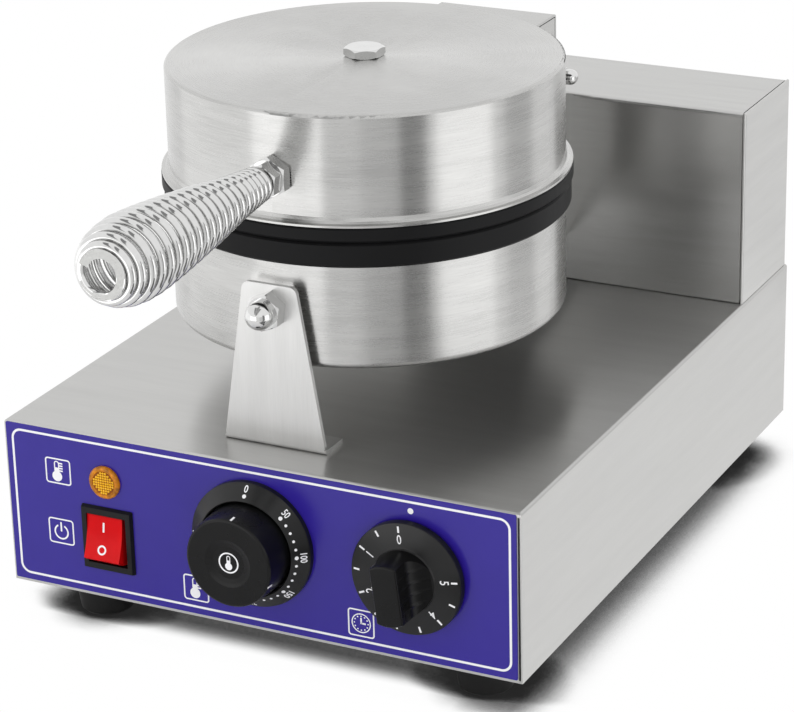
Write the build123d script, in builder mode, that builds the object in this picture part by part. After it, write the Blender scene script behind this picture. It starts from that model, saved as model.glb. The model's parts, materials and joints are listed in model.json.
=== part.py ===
from build123d import *
import os
from math import cos, radians, sin, sqrt

os.makedirs("parts", exist_ok=True)

# Waffle cone maker: a low sheet-steel base with a control panel, a round two-part
# baking drum held between a front bracket and a rear hinge bracket, and a wiring
# housing across the back. +Z is up, -Y is the control panel, +X is to the right of
# a person who faces the panel. All sizes are in millimetres.

# ---------------------------------------------------------------- driving sizes
base_w = 250.0          # width of the base, and of the whole machine
base_d = 318.0          # depth of the base
body_h = 78.0           # height of the sheet-steel base without its feet
foot_h = 20.0
sheet = 1.2             # sheet thickness of casings
bend_r = 1.4            # outside bend radius of the base
fit_gap = 0.1           # clearance between parts that are slid or dropped together
running = 0.05          # radial clearance of turning and screwed shafts

drum_r = 87.7           # outside radius of both drum shells
drum_from_front = 114.0
lower_shell_from_top = 36.2   # free height under the drum
lower_shell_h = 46.7
lower_plate_h = 11.0    # heights of the baking plates' rims
upper_plate_h = 6.85
plate_gap = 0.3         # seam between the closed plates
upper_shell_h = 47.95

housing_from_front = 257.0
housing_h = 95.0
housing_inset = 0.5     # how far the housing's sides stand in from the base's
housing_back_inset = 1.5

handle_reach = 111.0    # tip of the handle in front of the control panel
handle_x = 1.2          # the handle stands a little right of the centre plane
gland_reach = 14.0      # cable gland behind the back panel

thermostat_x = -0.7
timer_x = 74.2
lamp_x = -74.0
dial_up = 41.6          # knob axes above the underside of the body
timer_up = 40.8
switch_up = 29.2
lamp_up = 56.8

# ---------------------------------------------------------------- derived places
front_y = (handle_reach - base_d - gland_reach) / 2
back_y = front_y + base_d
base_mid_y = front_y + base_d / 2
body_top = foot_h + body_h
shell_z = foot_h + sheet
drum_y = front_y + drum_from_front
drum_front_y = drum_y - drum_r
drum_rear_y = drum_y + drum_r
lower_z = body_top + lower_shell_from_top
lower_rim_z = lower_z + lower_shell_h
seam_z = lower_rim_z + lower_plate_h
upper_plate_z = seam_z + plate_gap
upper_z = upper_plate_z + upper_plate_h
drum_top = upper_z + upper_shell_h
housing_y0 = front_y + housing_from_front
housing_y1 = back_y - housing_back_inset
housing_top = body_top + housing_h
housing_x = base_w / 2 - housing_inset
dial_z = foot_h + dial_up
timer_z = foot_h + timer_up
switch_z = foot_h + switch_up
lamp_z = foot_h + lamp_up
drum_axis = Axis((0, drum_y, 0), (0, 0, 1))


def front_plane(y, x=0.0, z=0.0):
    """Sketch plane that faces the user: its x is +X, its y is +Z, its normal is -Y."""
    return Plane(origin=(x, y, z), x_dir=(1, 0, 0), z_dir=(0, -1, 0))


def side_plane(x):
    """Sketch plane that faces +X: its x is +Y and its y is +Z."""
    return Plane(origin=(x, 0, 0), x_dir=(0, 1, 0), z_dir=(1, 0, 0))


def section_plane(y=drum_y, x=0.0):
    """Upright plane through an upright axis, for revolved outlines of (radius, height)."""
    return Plane(origin=(x, y, 0), x_dir=(1, 0, 0), z_dir=(0, -1, 0))


def upright(z0, height, radius, x=0.0, y=0.0, mode=Mode.ADD):
    """Round bar or hole along Z on the part that is being built."""
    with BuildSketch(Plane.XY.offset(z0)) as outline:
        with Locations((x, y)):
            Circle(radius)
    extrude(outline.sketch, amount=height, mode=mode)


def along_y(y0, y1, radius, x=0.0, z=0.0, mode=Mode.ADD):
    """Round bar or hole along Y, from y0 back to y1."""
    with BuildSketch(front_plane(y0, x, z)) as outline:
        Circle(radius)
    extrude(outline.sketch, amount=y0 - y1, mode=mode)


def along_x(x0, x1, radius, y, z, mode=Mode.ADD):
    """Round bar or hole along X, from x0 to x1."""
    with BuildSketch(side_plane(x0)) as outline:
        with Locations((y, z)):
            Circle(radius)
    extrude(outline.sketch, amount=x1 - x0, mode=mode)


def block(x0, x1, y0, y1, z0, z1, mode=Mode.ADD):
    """Straight-sided block between six limits."""
    with BuildSketch(Plane.XY.offset(z0)) as outline:
        with Locations(((x0 + x1) / 2, (y0 + y1) / 2)):
            Rectangle(x1 - x0, y1 - y0)
    extrude(outline.sketch, amount=z1 - z0, mode=mode)


def hex_along_y(y0, y1, flats, x, z, turn=0.0):
    """Hexagon bar along Y with one corner up, from y0 back to y1."""
    with BuildSketch(front_plane(y0, x, z)) as outline:
        RegularPolygon(flats / 2, 6, major_radius=False, rotation=30 + turn)
    extrude(outline.sketch, amount=y0 - y1)


def hex_along_z(z0, height, flats, x, y, turn=0.0):
    """Hexagon bar along Z, from z0 up."""
    with BuildSketch(Plane.XY.offset(z0)) as outline:
        with Locations((x, y)):
            RegularPolygon(flats / 2, 6, major_radius=False, rotation=turn)
    extrude(outline.sketch, amount=height)


def spin(points, axis, plane, mode=Mode.ADD):
    """Turns a closed outline of straight lines about an axis."""
    with BuildSketch(plane) as outline:
        with BuildLine():
            Polyline(*points, close=True)
        make_face()
    revolve(outline.sketch, axis=axis, mode=mode)


# ================================================================ base
switch_cut_w = 22.2
switch_cut_h = 27.4
lamp_hole_r = 6.1
shaft_hole_r = 5.0
corner_seam = 1.0       # open seam between the front wall and the side walls
flange_in = 10.0
wire_hole_x = 40.0
wire_hole_y = housing_y0 + 24.0

front_stud_up = 63.5    # height of the drum's front stud above the base
front_stud_z = body_top + front_stud_up
front_bracket_y = front_y + 20.5
front_bracket_t = 2.0
front_flange_d = 15.5
front_screw_x = 14.0
front_screw_y = front_bracket_y + 10.0
small_screw_r = 2.0
rim_screw_x = base_w / 2 - sheet - flange_in / 2
rim_screw_ys = (front_y + 40, base_mid_y, back_y - 40)
rim_screw_places = [(side * rim_screw_x, y) for side in (-1, 1) for y in rim_screw_ys]

with BuildPart() as base_shell:
    block(-base_w / 2, base_w / 2, front_y, back_y, shell_z, body_top)
    top_edges = base_shell.faces().sort_by(Axis.Z)[-1].edges().sort_by(Axis.Y)[:-1]
    fillet(top_edges, bend_r)
    inner_x = base_w / 2 - sheet
    block(-inner_x, inner_x, front_y + sheet, back_y, shell_z, body_top - sheet, Mode.SUBTRACT)
    for side in (-1, 1):
        seam_x = side * inner_x
        block(
            seam_x - corner_seam / 2,
            seam_x + corner_seam / 2,
            front_y,
            front_y + sheet,
            shell_z,
            body_top - bend_r - 0.5,
            Mode.SUBTRACT,
        )
        flange_x = side * (inner_x - flange_in / 2)
        block(
            flange_x - flange_in / 2,
            flange_x + flange_in / 2,
            front_y + 20,
            back_y - 20,
            shell_z,
            shell_z + sheet,
        )
    with BuildSketch(front_plane(front_y)) as panel_cuts:
        with Locations((lamp_x, switch_z)):
            Rectangle(switch_cut_w, switch_cut_h)
        with Locations((lamp_x, lamp_z)):
            Circle(lamp_hole_r)
        with Locations((thermostat_x, dial_z), (timer_x, timer_z)):
            Circle(shaft_hole_r)
    extrude(panel_cuts.sketch, amount=-sheet, mode=Mode.SUBTRACT)
    with BuildSketch(Plane.XY.offset(body_top - sheet)) as top_cuts:
        with Locations((0, wire_hole_y)):
            SlotOverall(wire_hole_x, 16)
        with Locations((-front_screw_x, front_screw_y), (front_screw_x, front_screw_y)):
            Circle(small_screw_r + running)
    extrude(top_cuts.sketch, amount=sheet, mode=Mode.SUBTRACT)
    for x, y in rim_screw_places:
        upright(shell_z, sheet, small_screw_r + running, x, y, Mode.SUBTRACT)
base_shell.part.label = "base_shell"

foot_x = 95.0
foot_in = 28.0
foot_top_r = 15.0
foot_bottom_r = 12.0
foot_places = {
    "front_left": (-foot_x, front_y + foot_in),
    "front_right": (foot_x, front_y + foot_in),
    "rear_left": (-foot_x, back_y - foot_in),
    "rear_right": (foot_x, back_y - foot_in),
}
foot_screw_r = 2.5

with BuildPart() as bottom_plate:
    block(-base_w / 2, base_w / 2, front_y, back_y, foot_h, foot_h + sheet)
    with BuildSketch(Plane.XY.offset(foot_h)) as bottom_cuts:
        with Locations(*foot_places.values()):
            Circle(foot_screw_r + running)
        with Locations(*rim_screw_places):
            Circle(small_screw_r + running)
        with Locations((0, base_mid_y)):
            with GridLocations(60, 16, 2, 6):
                SlotOverall(44, 4)
    extrude(bottom_cuts.sketch, amount=sheet, mode=Mode.SUBTRACT)
bottom_plate.part.label = "bottom_plate"

gland_x = -85.0
gland_z = foot_h + 32.0
gland_thread_r = 8.0

with BuildPart() as back_panel:
    block(
        -inner_x + fit_gap,
        inner_x - fit_gap,
        back_y - sheet,
        back_y,
        shell_z,
        body_top - sheet - fit_gap,
    )
    block(
        -inner_x + fit_gap,
        inner_x - fit_gap,
        back_y - sheet - flange_in,
        back_y - sheet,
        body_top - 2 * sheet - fit_gap,
        body_top - sheet - fit_gap,
    )
    with BuildSketch(front_plane(back_y)) as back_cuts:
        with Locations((gland_x, gland_z)):
            Circle(gland_thread_r + running)
        with Locations((0, foot_h + 42)):
            with GridLocations(60, 10, 2, 4):
                SlotOverall(44, 4)
    extrude(back_cuts.sketch, amount=sheet, mode=Mode.SUBTRACT)
back_panel.part.label = "back_panel"

# Screws through the bottom plate into the base's side flanges.
with BuildPart() as bottom_screws:
    for x, y in rim_screw_places:
        upright(foot_h - 1.6, 1.6, 3.4, x, y)
        upright(foot_h, 7.0, small_screw_r, x, y)
bottom_screws.part.label = "bottom_screws"

foot_recess_r = 5.5
foot_recess_h = 9.0
feet = []
for name, (x, y) in foot_places.items():
    with BuildPart() as foot:
        foot_outline = (
            (0, 0),
            (foot_bottom_r - 1.2, 0),
            (foot_bottom_r, 1.2),
            (foot_top_r, foot_h),
            (0, foot_h),
        )
        spin(foot_outline, Axis((x, y, 0), (0, 0, 1)), section_plane(y, x))
        upright(0, foot_recess_h, foot_recess_r, x, y, Mode.SUBTRACT)
        upright(0, foot_h, foot_screw_r + running, x, y, Mode.SUBTRACT)
    foot.part.label = f"foot_{name}"
    feet.append(foot.part)

with BuildPart() as foot_screws:
    for x, y in foot_places.values():
        upright(foot_recess_h - 3, 3, 4.7, x, y)
        upright(foot_recess_h, foot_h + 8 - foot_recess_h, foot_screw_r, x, y)
foot_screws.part.label = "foot_screws"

# ================================================================ control panel
label_t = 0.4
label_left = -124.2     # the label sits a little left of the middle
label_right = 122.9
label_low = 1.4
label_high = 0.7
label_face_y = front_y - label_t

with BuildPart() as panel_label:
    label_z0 = foot_h + label_low
    label_z1 = body_top - label_high
    label_mid_x = (label_left + label_right) / 2
    label_plane = front_plane(front_y, label_mid_x, (label_z0 + label_z1) / 2)
    with BuildSketch(label_plane) as label_outline:
        RectangleRounded(label_right - label_left, label_z1 - label_z0, 0.8)
    extrude(label_outline.sketch, amount=label_t)
    extrude(panel_cuts.sketch, amount=label_t, mode=Mode.SUBTRACT)
panel_label.part.label = "panel_label"

# Rocker switch: a black housing with a frame on the panel, and a red rocker.
switch_frame_w = 26.0
switch_frame_h = 30.6
switch_frame_t = 2.0
switch_open_w = 20.0
switch_open_h = 23.6
rocker_w = 17.8
rocker_end_r = 11.5
rocker_half = 9.9
rocker_front = sqrt(rocker_end_r**2 - rocker_half**2)
rocker_dip = 1.1
rocker_tilt = 14.0
rocker_pivot_y = front_y + 2.0
switch_face_y = label_face_y - switch_frame_t
switch_depth = 26.0

with BuildPart() as switch_housing:
    with BuildSketch(front_plane(label_face_y, lamp_x, switch_z)) as frame_base:
        RectangleRounded(switch_frame_w, switch_frame_h, 0.8)
    extrude(frame_base.sketch, amount=switch_frame_t, taper=20)
    block(
        lamp_x - switch_cut_w / 2 + fit_gap,
        lamp_x + switch_cut_w / 2 - fit_gap,
        label_face_y,
        front_y + switch_depth,
        switch_z - switch_cut_h / 2 + fit_gap,
        switch_z + switch_cut_h / 2 - fit_gap,
    )
    block(
        lamp_x - switch_open_w / 2,
        lamp_x + switch_open_w / 2,
        switch_face_y,
        rocker_pivot_y + 8,
        switch_z - switch_open_h / 2,
        switch_z + switch_open_h / 2,
        Mode.SUBTRACT,
    )
    along_x(
        lamp_x - switch_open_w / 2 - 1,
        lamp_x + switch_open_w / 2 + 1,
        1.5 + running,
        rocker_pivot_y,
        switch_z,
        Mode.SUBTRACT,
    )
    for blade_x in (lamp_x - 6, lamp_x + 6):
        for blade_z in (switch_z - 7, switch_z + 7):
            block(
                blade_x - 3.2,
                blade_x + 3.2,
                front_y + switch_depth,
                front_y + switch_depth + 9,
                blade_z - 0.4,
                blade_z + 0.4,
            )
switch_housing.part.label = "switch_housing"


def rocker_point(forward, up):
    """A point of the rocker's side outline, after it is tilted with its top pushed in."""
    tilt = radians(rocker_tilt)
    y = rocker_pivot_y - forward * cos(tilt) + up * sin(tilt)
    z = switch_z + up * cos(tilt) + forward * sin(tilt)
    return (y, z)


with BuildPart() as switch_rocker:
    with BuildSketch(side_plane(lamp_x - rocker_w / 2)) as rocker_side:
        with BuildLine():
            dip = rocker_point(rocker_front - rocker_dip, 0)
            top_corner = rocker_point(rocker_front, rocker_half)
            top_mid = rocker_point(rocker_end_r * sin(radians(8)), rocker_end_r * cos(radians(8)))
            top_back = rocker_point(-3.0, sqrt(rocker_end_r**2 - 9.0))
            low_back = rocker_point(-3.0, -sqrt(rocker_end_r**2 - 9.0))
            low_mid = rocker_point(rocker_end_r * sin(radians(8)), -rocker_end_r * cos(radians(8)))
            low_corner = rocker_point(rocker_front, -rocker_half)
            ThreePointArc(low_corner, dip, top_corner)
            ThreePointArc(top_corner, top_mid, top_back)
            Line(top_back, low_back)
            ThreePointArc(low_back, low_mid, low_corner)
        make_face()
    extrude(rocker_side.sketch, amount=rocker_w)
    along_x(
        lamp_x - switch_open_w / 2 - 0.8,
        lamp_x + switch_open_w / 2 + 0.8,
        1.5,
        rocker_pivot_y,
        switch_z,
    )
switch_rocker.part.label = "switch_rocker"

# Pilot lamp: an amber lens in front, its holder behind the panel.
lamp_rim_r = 7.8
lamp_rim_t = 1.7
lamp_dome_r = 5.6
lamp_dome_t = 3.0

with BuildPart() as lamp_lens:
    lens_outline = (
        (0, 0),
        (lamp_rim_r, 0),
        (lamp_rim_r, lamp_rim_t - 0.6),
        (lamp_rim_r - 0.8, lamp_rim_t),
        (lamp_dome_r, lamp_rim_t),
        (lamp_dome_r - 0.3, lamp_dome_t - 0.3),
        (lamp_dome_r - 0.9, lamp_dome_t),
        (0, lamp_dome_t),
    )
    lens_plane = Plane(origin=(lamp_x, label_face_y, lamp_z), x_dir=(1, 0, 0), z_dir=(0, 0, 1))
    turned = [(r, -h) for r, h in lens_outline]
    spin(turned, Axis((lamp_x, label_face_y, lamp_z), (0, 1, 0)), lens_plane)
    along_y(label_face_y, label_face_y + 6, lamp_hole_r - 1.5, lamp_x, lamp_z)
lamp_lens.part.label = "lamp_lens"

with BuildPart() as lamp_holder:
    along_y(label_face_y, front_y + 22, lamp_hole_r - fit_gap, lamp_x, lamp_z)
    along_y(label_face_y, label_face_y + 7, lamp_hole_r - 1.4, lamp_x, lamp_z, Mode.SUBTRACT)
    along_y(front_y + sheet, front_y + sheet + 3, 8.5, lamp_x, lamp_z)
    along_y(label_face_y, label_face_y + 7, lamp_hole_r - 1.4, lamp_x, lamp_z, Mode.SUBTRACT)
lamp_holder.part.label = "lamp_holder"

# Thermostat: a fixed scale ring, a turning knob on a shaft, the regulator behind.
shaft_r = 3.0
scale_r = 29.0
scale_hole_r = 21.8
scale_edge_t = 3.1
scale_rise = 8.0
scale_base_t = 1.0
knob_base_r = 21.4
knob_front_r = 20.2
knob_reach = 23.1
knob_back_gap = 0.4
dish_r = 11.0
dish_depth = 1.0
shaft_tail = 14.0


def turned_on_panel(name_x, name_z, outline, mode=Mode.ADD):
    """Turns an outline of (radius, height off the label) about a knob's axis."""
    plane = Plane(origin=(name_x, label_face_y, name_z), x_dir=(1, 0, 0), z_dir=(0, 0, 1))
    points = [(r, -h) for r, h in outline]
    spin(points, Axis((name_x, label_face_y, name_z), (0, 1, 0)), plane, mode)


with BuildPart() as thermostat_scale:
    turned_on_panel(
        thermostat_x,
        dial_z,
        (
            (shaft_hole_r + 2, 0),
            (scale_r, 0),
            (scale_r, scale_edge_t - 0.5),
            (scale_r - 0.5, scale_edge_t),
            (scale_hole_r + 0.6, scale_rise),
            (scale_hole_r, scale_rise - 0.4),
            (scale_hole_r, scale_base_t),
            (shaft_hole_r + 2, scale_base_t),
        ),
    )
thermostat_scale.part.label = "thermostat_scale"

with BuildPart() as thermostat_knob:
    knob_back = scale_base_t + knob_back_gap
    turned_on_panel(
        thermostat_x,
        dial_z,
        (
            (shaft_r + running, knob_back),
            (knob_base_r, knob_back),
            (knob_front_r + 0.1, knob_reach - 1.1),
            (knob_front_r - 0.3, knob_reach - 0.35),
            (knob_front_r - 1.1, knob_reach),
            (dish_r, knob_reach),
            (dish_r - 1.5, knob_reach - 0.5),
            (dish_r - 3.5, knob_reach - dish_depth),
            (0, knob_reach - dish_depth),
            (0, knob_reach - 6),
            (shaft_r + running, knob_reach - 6),
        ),
    )
thermostat_knob.part.label = "thermostat_knob"

with BuildPart() as thermostat_shaft:
    along_y(
        label_face_y - knob_reach + 6.2,
        front_y + shaft_tail,
        shaft_r,
        thermostat_x,
        dial_z,
    )
thermostat_shaft.part.label = "thermostat_shaft"

regulator_w = 42.0
regulator_h = 34.0
regulator_d = 26.0

with BuildPart() as thermostat_body:
    block(
        thermostat_x - regulator_w / 2,
        thermostat_x + regulator_w / 2,
        front_y + sheet + 2,
        front_y + sheet + 2 + regulator_d,
        dial_z - regulator_h / 2,
        dial_z + regulator_h / 2,
    )
    fillet(thermostat_body.edges().filter_by(Axis.Y), 3)
    along_y(front_y - 0.2, front_y + sheet + 2, shaft_hole_r - fit_gap, thermostat_x, dial_z)
    along_y(
        front_y - 0.2,
        front_y + shaft_tail + 0.5,
        shaft_r + running,
        thermostat_x,
        dial_z,
        Mode.SUBTRACT,
    )
thermostat_body.part.label = "thermostat_body"

# Timer: a knob with a printed skirt that turns, and the clockwork behind.
skirt_r = 25.6
skirt_edge_t = 5.0
skirt_rise = 5.8
grip_base_r = 14.2
grip_base_top = 12.0
grip_top = 23.6
grip_w = 12.2
grip_lean = 7.0         # the knob stands this far anticlockwise of straight up
rib_count = 5

with BuildPart() as timer_knob:
    turned_on_panel(
        timer_x,
        timer_z,
        (
            (0, 0.8),
            (skirt_r - 0.6, 0.8),
            (skirt_r, 1.4),
            (skirt_r, skirt_edge_t - 0.5),
            (skirt_r - 0.5, skirt_edge_t),
            (grip_base_r + 1.2, skirt_rise),
            (grip_base_r, skirt_rise + 0.8),
            (grip_base_r - 0.6, grip_base_top - 1),
            (grip_base_r - 1.6, grip_base_top),
            (0, grip_base_top),
        ),
    )
    grip_plane = front_plane(label_face_y - grip_base_top, timer_x, timer_z)
    with BuildSketch(grip_plane.rotated((0, 0, grip_lean))) as grip_outline:
        Circle(grip_base_r - 0.6)
        Rectangle(grip_w, 2 * grip_base_r, mode=Mode.INTERSECT)
    extrude(grip_outline.sketch, amount=grip_top - grip_base_top, taper=2)
    fillet(timer_knob.faces().sort_by(Axis.Y)[0].edges(), 0.8)
    with BuildSketch(grip_plane.rotated((0, 0, grip_lean))) as ribs:
        for side in (-1, 1):
            with Locations((side * (grip_w / 2 - 0.2), 0)):
                with GridLocations(0, 4.2, 1, rib_count):
                    Rectangle(2.0, 1.1)
    extrude(ribs.sketch, amount=(grip_top - grip_base_top) * 0.72)
    along_y(
        label_face_y - grip_top + 8,
        label_face_y,
        shaft_r + running,
        timer_x,
        timer_z,
        Mode.SUBTRACT,
    )
timer_knob.part.label = "timer_knob"

with BuildPart() as timer_shaft:
    along_y(label_face_y - grip_top + 8.2, front_y + shaft_tail, shaft_r, timer_x, timer_z)
timer_shaft.part.label = "timer_shaft"

timer_size = 40.0
timer_d = 32.0

with BuildPart() as timer_body:
    block(
        timer_x - timer_size / 2,
        timer_x + timer_size / 2,
        front_y + sheet + 2,
        front_y + sheet + 2 + timer_d,
        timer_z - timer_size / 2,
        timer_z + timer_size / 2,
    )
    fillet(timer_body.edges().filter_by(Axis.Y), 2)
    along_y(front_y - 0.2, front_y + sheet + 2, shaft_hole_r - fit_gap, timer_x, timer_z)
    along_y(
        front_y - 0.2,
        front_y + shaft_tail + 0.5,
        shaft_r + running,
        timer_x,
        timer_z,
        Mode.SUBTRACT,
    )
timer_body.part.label = "timer_body"

# ================================================================ wiring in the base
with BuildPart() as terminal_block:
    block(30, 90, back_y - 60, back_y - 40, shell_z + 6, shell_z + 24)
    with BuildSketch(Plane.XY.offset(shell_z + 24)) as clamp_holes:
        with Locations((60, back_y - 50)):
            with GridLocations(11, 10, 5, 2):
                Circle(2.6)
    extrude(clamp_holes.sketch, amount=-8, mode=Mode.SUBTRACT)
    block(30, 36, back_y - 60, back_y - 40, shell_z, shell_z + 6)
    block(84, 90, back_y - 60, back_y - 40, shell_z, shell_z + 6)
terminal_block.part.label = "terminal_block"

gland_bore_r = 4.0
gland_in = 14.0

with BuildPart() as cable_gland:
    along_y(back_y - sheet - gland_in, back_y + gland_reach, gland_thread_r, gland_x, gland_z)
    hex_along_y(back_y, back_y + 5, 22.0, gland_x, gland_z)
    along_y(back_y + 5, back_y + gland_reach - 2, 9.6, gland_x, gland_z)
    chamfer(cable_gland.faces().sort_by(Axis.Y)[-1].edges(), 1.0)
    along_y(
        back_y - sheet - gland_in,
        back_y + gland_reach,
        gland_bore_r,
        gland_x,
        gland_z,
        Mode.SUBTRACT,
    )
cable_gland.part.label = "cable_gland"

with BuildPart() as gland_nut:
    hex_along_y(back_y - sheet - 5.5, back_y - sheet - 0.3, 22.0, gland_x, gland_z)
    along_y(
        back_y - sheet - 6,
        back_y,
        gland_thread_r + running,
        gland_x,
        gland_z,
        Mode.SUBTRACT,
    )
gland_nut.part.label = "gland_nut"

# ================================================================ rear housing
housing_bend = 2.2
cover_seam = 0.5
wrap_x = housing_x - sheet - cover_seam
conduit_r = 7.0
conduit_z = lower_z + 24.0
bracket_screw_x = 20.0
bracket_screw_zs = (body_top + 30, body_top + 74)
housing_screw_places = [(x, z) for x in (-100, 100) for z in (body_top + 12, housing_top - 14)]

with BuildPart() as rear_housing:
    with BuildSketch(side_plane(-wrap_x)) as housing_ring:
        with Locations(((housing_y0 + housing_y1) / 2, (body_top + housing_top) / 2)):
            Rectangle(housing_y1 - housing_y0, housing_h)
        with Locations(((housing_y0 + housing_y1) / 2, (body_top + housing_top) / 2)):
            Rectangle(
                housing_y1 - housing_y0 - 2 * sheet, housing_h - 2 * sheet, mode=Mode.SUBTRACT
            )
        with Locations(((housing_y0 + housing_y1) / 2, body_top + sheet / 2)):
            Rectangle(housing_y1 - housing_y0 - 2 * flange_in, sheet, mode=Mode.SUBTRACT)
    extrude(housing_ring.sketch, amount=2 * wrap_x)
    long_edges = rear_housing.edges().filter_by(Axis.X)
    top_bends = long_edges.group_by(Axis.Z)[-1]
    low_bends = long_edges.group_by(Axis.Z)[0].sort_by(Axis.Y)
    fillet(top_bends, housing_bend)
    fillet([low_bends[0], low_bends[-1]], 1.0)
    with BuildSketch(front_plane(housing_y0)) as wall_cuts:
        with Locations((0, conduit_z)):
            Circle(conduit_r + fit_gap)
        with Locations(*[(s * bracket_screw_x, z) for s in (-1, 1) for z in bracket_screw_zs]):
            Circle(small_screw_r + running)
    extrude(wall_cuts.sketch, amount=-sheet, mode=Mode.SUBTRACT)
    with BuildSketch(front_plane(housing_y1)) as back_wall_cuts:
        with Locations(*housing_screw_places):
            Circle(small_screw_r + running)
    extrude(back_wall_cuts.sketch, amount=sheet, mode=Mode.SUBTRACT)
rear_housing.part.label = "rear_housing"

cover_parts = []
for side, name in ((-1, "left"), (1, "right")):
    with BuildPart() as side_cover:
        plate_x0 = side * housing_x
        plate_x1 = side * (housing_x - sheet)
        block(
            min(plate_x0, plate_x1),
            max(plate_x0, plate_x1),
            housing_y0,
            housing_y1,
            body_top,
            housing_top,
        )
        rim = side_cover.faces().sort_by(Axis.X)[0 if side < 0 else -1].edges()
        fillet(rim, 0.9)
        tray_x1 = side * (housing_x - sheet - flange_in)
        tray_gap = sheet + fit_gap
        block(
            min(plate_x1, tray_x1),
            max(plate_x1, tray_x1),
            housing_y0 + tray_gap,
            housing_y1 - tray_gap,
            body_top + tray_gap,
            housing_top - tray_gap,
        )
        block(
            min(plate_x1, tray_x1),
            max(plate_x1, tray_x1),
            housing_y0 + tray_gap + sheet,
            housing_y1 - tray_gap - sheet,
            body_top + tray_gap + sheet,
            housing_top - tray_gap - sheet,
            Mode.SUBTRACT,
        )
        for screw_x, screw_z in housing_screw_places:
            along_y(
                housing_y1 - 3 * sheet,
                housing_y1,
                small_screw_r + running,
                screw_x,
                screw_z,
                Mode.SUBTRACT,
            )
    side_cover.part.label = f"rear_cover_{name}"
    cover_parts.append(side_cover.part)

with BuildPart() as housing_screws:
    for x, z in housing_screw_places:
        along_y(housing_y1 - 6, housing_y1, small_screw_r, x, z)
        along_y(housing_y1, housing_y1 + 1.4, 3.4, x, z)
housing_screws.part.label = "housing_screws"

# ================================================================ drum supports
with BuildPart() as front_bracket:
    bracket_low_x = 24.6
    bracket_high_x = 12.7
    bracket_top = front_stud_z + 11.0
    with BuildSketch(front_plane(front_bracket_y)) as bracket_face:
        with BuildLine():
            Polyline(
                (-bracket_low_x, body_top),
                (bracket_low_x, body_top),
                (bracket_high_x, bracket_top),
                (-bracket_high_x, bracket_top),
                close=True,
            )
        make_face()
        fillet(bracket_face.vertices().group_by(Axis.Z)[-1], 3.5)
    extrude(bracket_face.sketch, amount=-front_bracket_t)
    block(
        -bracket_low_x,
        bracket_low_x,
        front_bracket_y,
        front_bracket_y + front_flange_d,
        body_top,
        body_top + front_bracket_t,
    )
    heel = front_bracket.edges().filter_by(Axis.X).group_by(Axis.Z)[0].sort_by(Axis.Y)[0]
    fillet(heel, 1.6)
    along_y(
        front_bracket_y,
        front_bracket_y + front_bracket_t,
        4.0 + running,
        0,
        front_stud_z,
        Mode.SUBTRACT,
    )
    for x in (-front_screw_x, front_screw_x):
        upright(body_top, front_bracket_t, small_screw_r + running, x, front_screw_y, Mode.SUBTRACT)
front_bracket.part.label = "front_bracket"

with BuildPart() as bracket_screws:
    for x in (-front_screw_x, front_screw_x):
        upright(body_top + front_bracket_t, 2.2, 3.6, x, front_screw_y)
        upright(body_top - 9, 9 + front_bracket_t, small_screw_r, x, front_screw_y)
bracket_screws.part.label = "bracket_screws"

spacer_gap = 0.25
spacer_y = front_bracket_y + front_bracket_t
with BuildPart() as front_spacer:
    along_y(spacer_y, drum_front_y - spacer_gap, 8.0, 0, front_stud_z)
    along_y(spacer_y, drum_front_y, 4.0 + running, 0, front_stud_z, Mode.SUBTRACT)
front_spacer.part.label = "front_spacer"

cap_hex = 6.5
cap_dome_r = 6.2
cap_flats = 14.6
cap_turn = 8.0
with BuildPart() as front_stud:
    along_y(front_bracket_y - cap_hex - 3, drum_front_y + 8, 4.0, 0, front_stud_z)
    hex_along_y(drum_front_y + 1.6, drum_front_y + 6.6, 13.0, 0, front_stud_z)
front_stud.part.label = "front_stud"

with BuildPart() as front_cap_nut:
    hex_along_y(
        front_bracket_y - cap_hex, front_bracket_y, cap_flats, 0, front_stud_z, -cap_turn
    )
    chamfer_ring = (
        (cap_dome_r + 0.3, cap_hex),
        (9.0, cap_hex),
        (9.0, cap_hex - 1.2),
    )
    nut_plane = Plane(origin=(0, front_bracket_y, front_stud_z), x_dir=(1, 0, 0), z_dir=(0, 0, 1))
    nut_axis = Axis((0, front_bracket_y, front_stud_z), (0, 1, 0))
    spin([(r, -h) for r, h in chamfer_ring], nut_axis, nut_plane, Mode.SUBTRACT)
    along_y(front_bracket_y - cap_hex - 2.5, front_bracket_y, cap_dome_r, 0, front_stud_z)
    with Locations((0, front_bracket_y - cap_hex - 2.5, front_stud_z)):
        Sphere(cap_dome_r)
    along_y(
        front_bracket_y - cap_hex - 3.2,
        front_bracket_y,
        4.0 + running,
        0,
        front_stud_z,
        Mode.SUBTRACT,
    )
front_cap_nut.part.label = "front_cap_nut"

# ================================================================ lower half of the drum
wall = 1.2
plate_step_r = drum_r - wall - 0.2
plate_step_h = 3.0
lower_plate_r = 90.2
upper_plate_r = 91.1
bake_r = 82.0           # the baking faces are let in a little inside this radius
bake_inset = 0.6
groove_pitch = 13.0
groove_w = 2.0
groove_d = 1.2
boss_r = 10.0
boss_h = 8.0
bolt_r = 4.0
bolt_flats = 16.0
heater_ring_r = 58.0
heater_tube_r = 4.0
insulation_r = 78.0
insulation_h = 25.0
clamp_disc_r = 72.0
clamp_disc_t = 2.0
saddle_x = 31.0
saddle_back_y = drum_rear_y + 2.0
saddle_screw_x = 18.0
saddle_screw_zs = (lower_z + 16, lower_z + 38)
saddle_z0 = lower_z + 9
saddle_z1 = lower_rim_z - 3

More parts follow.
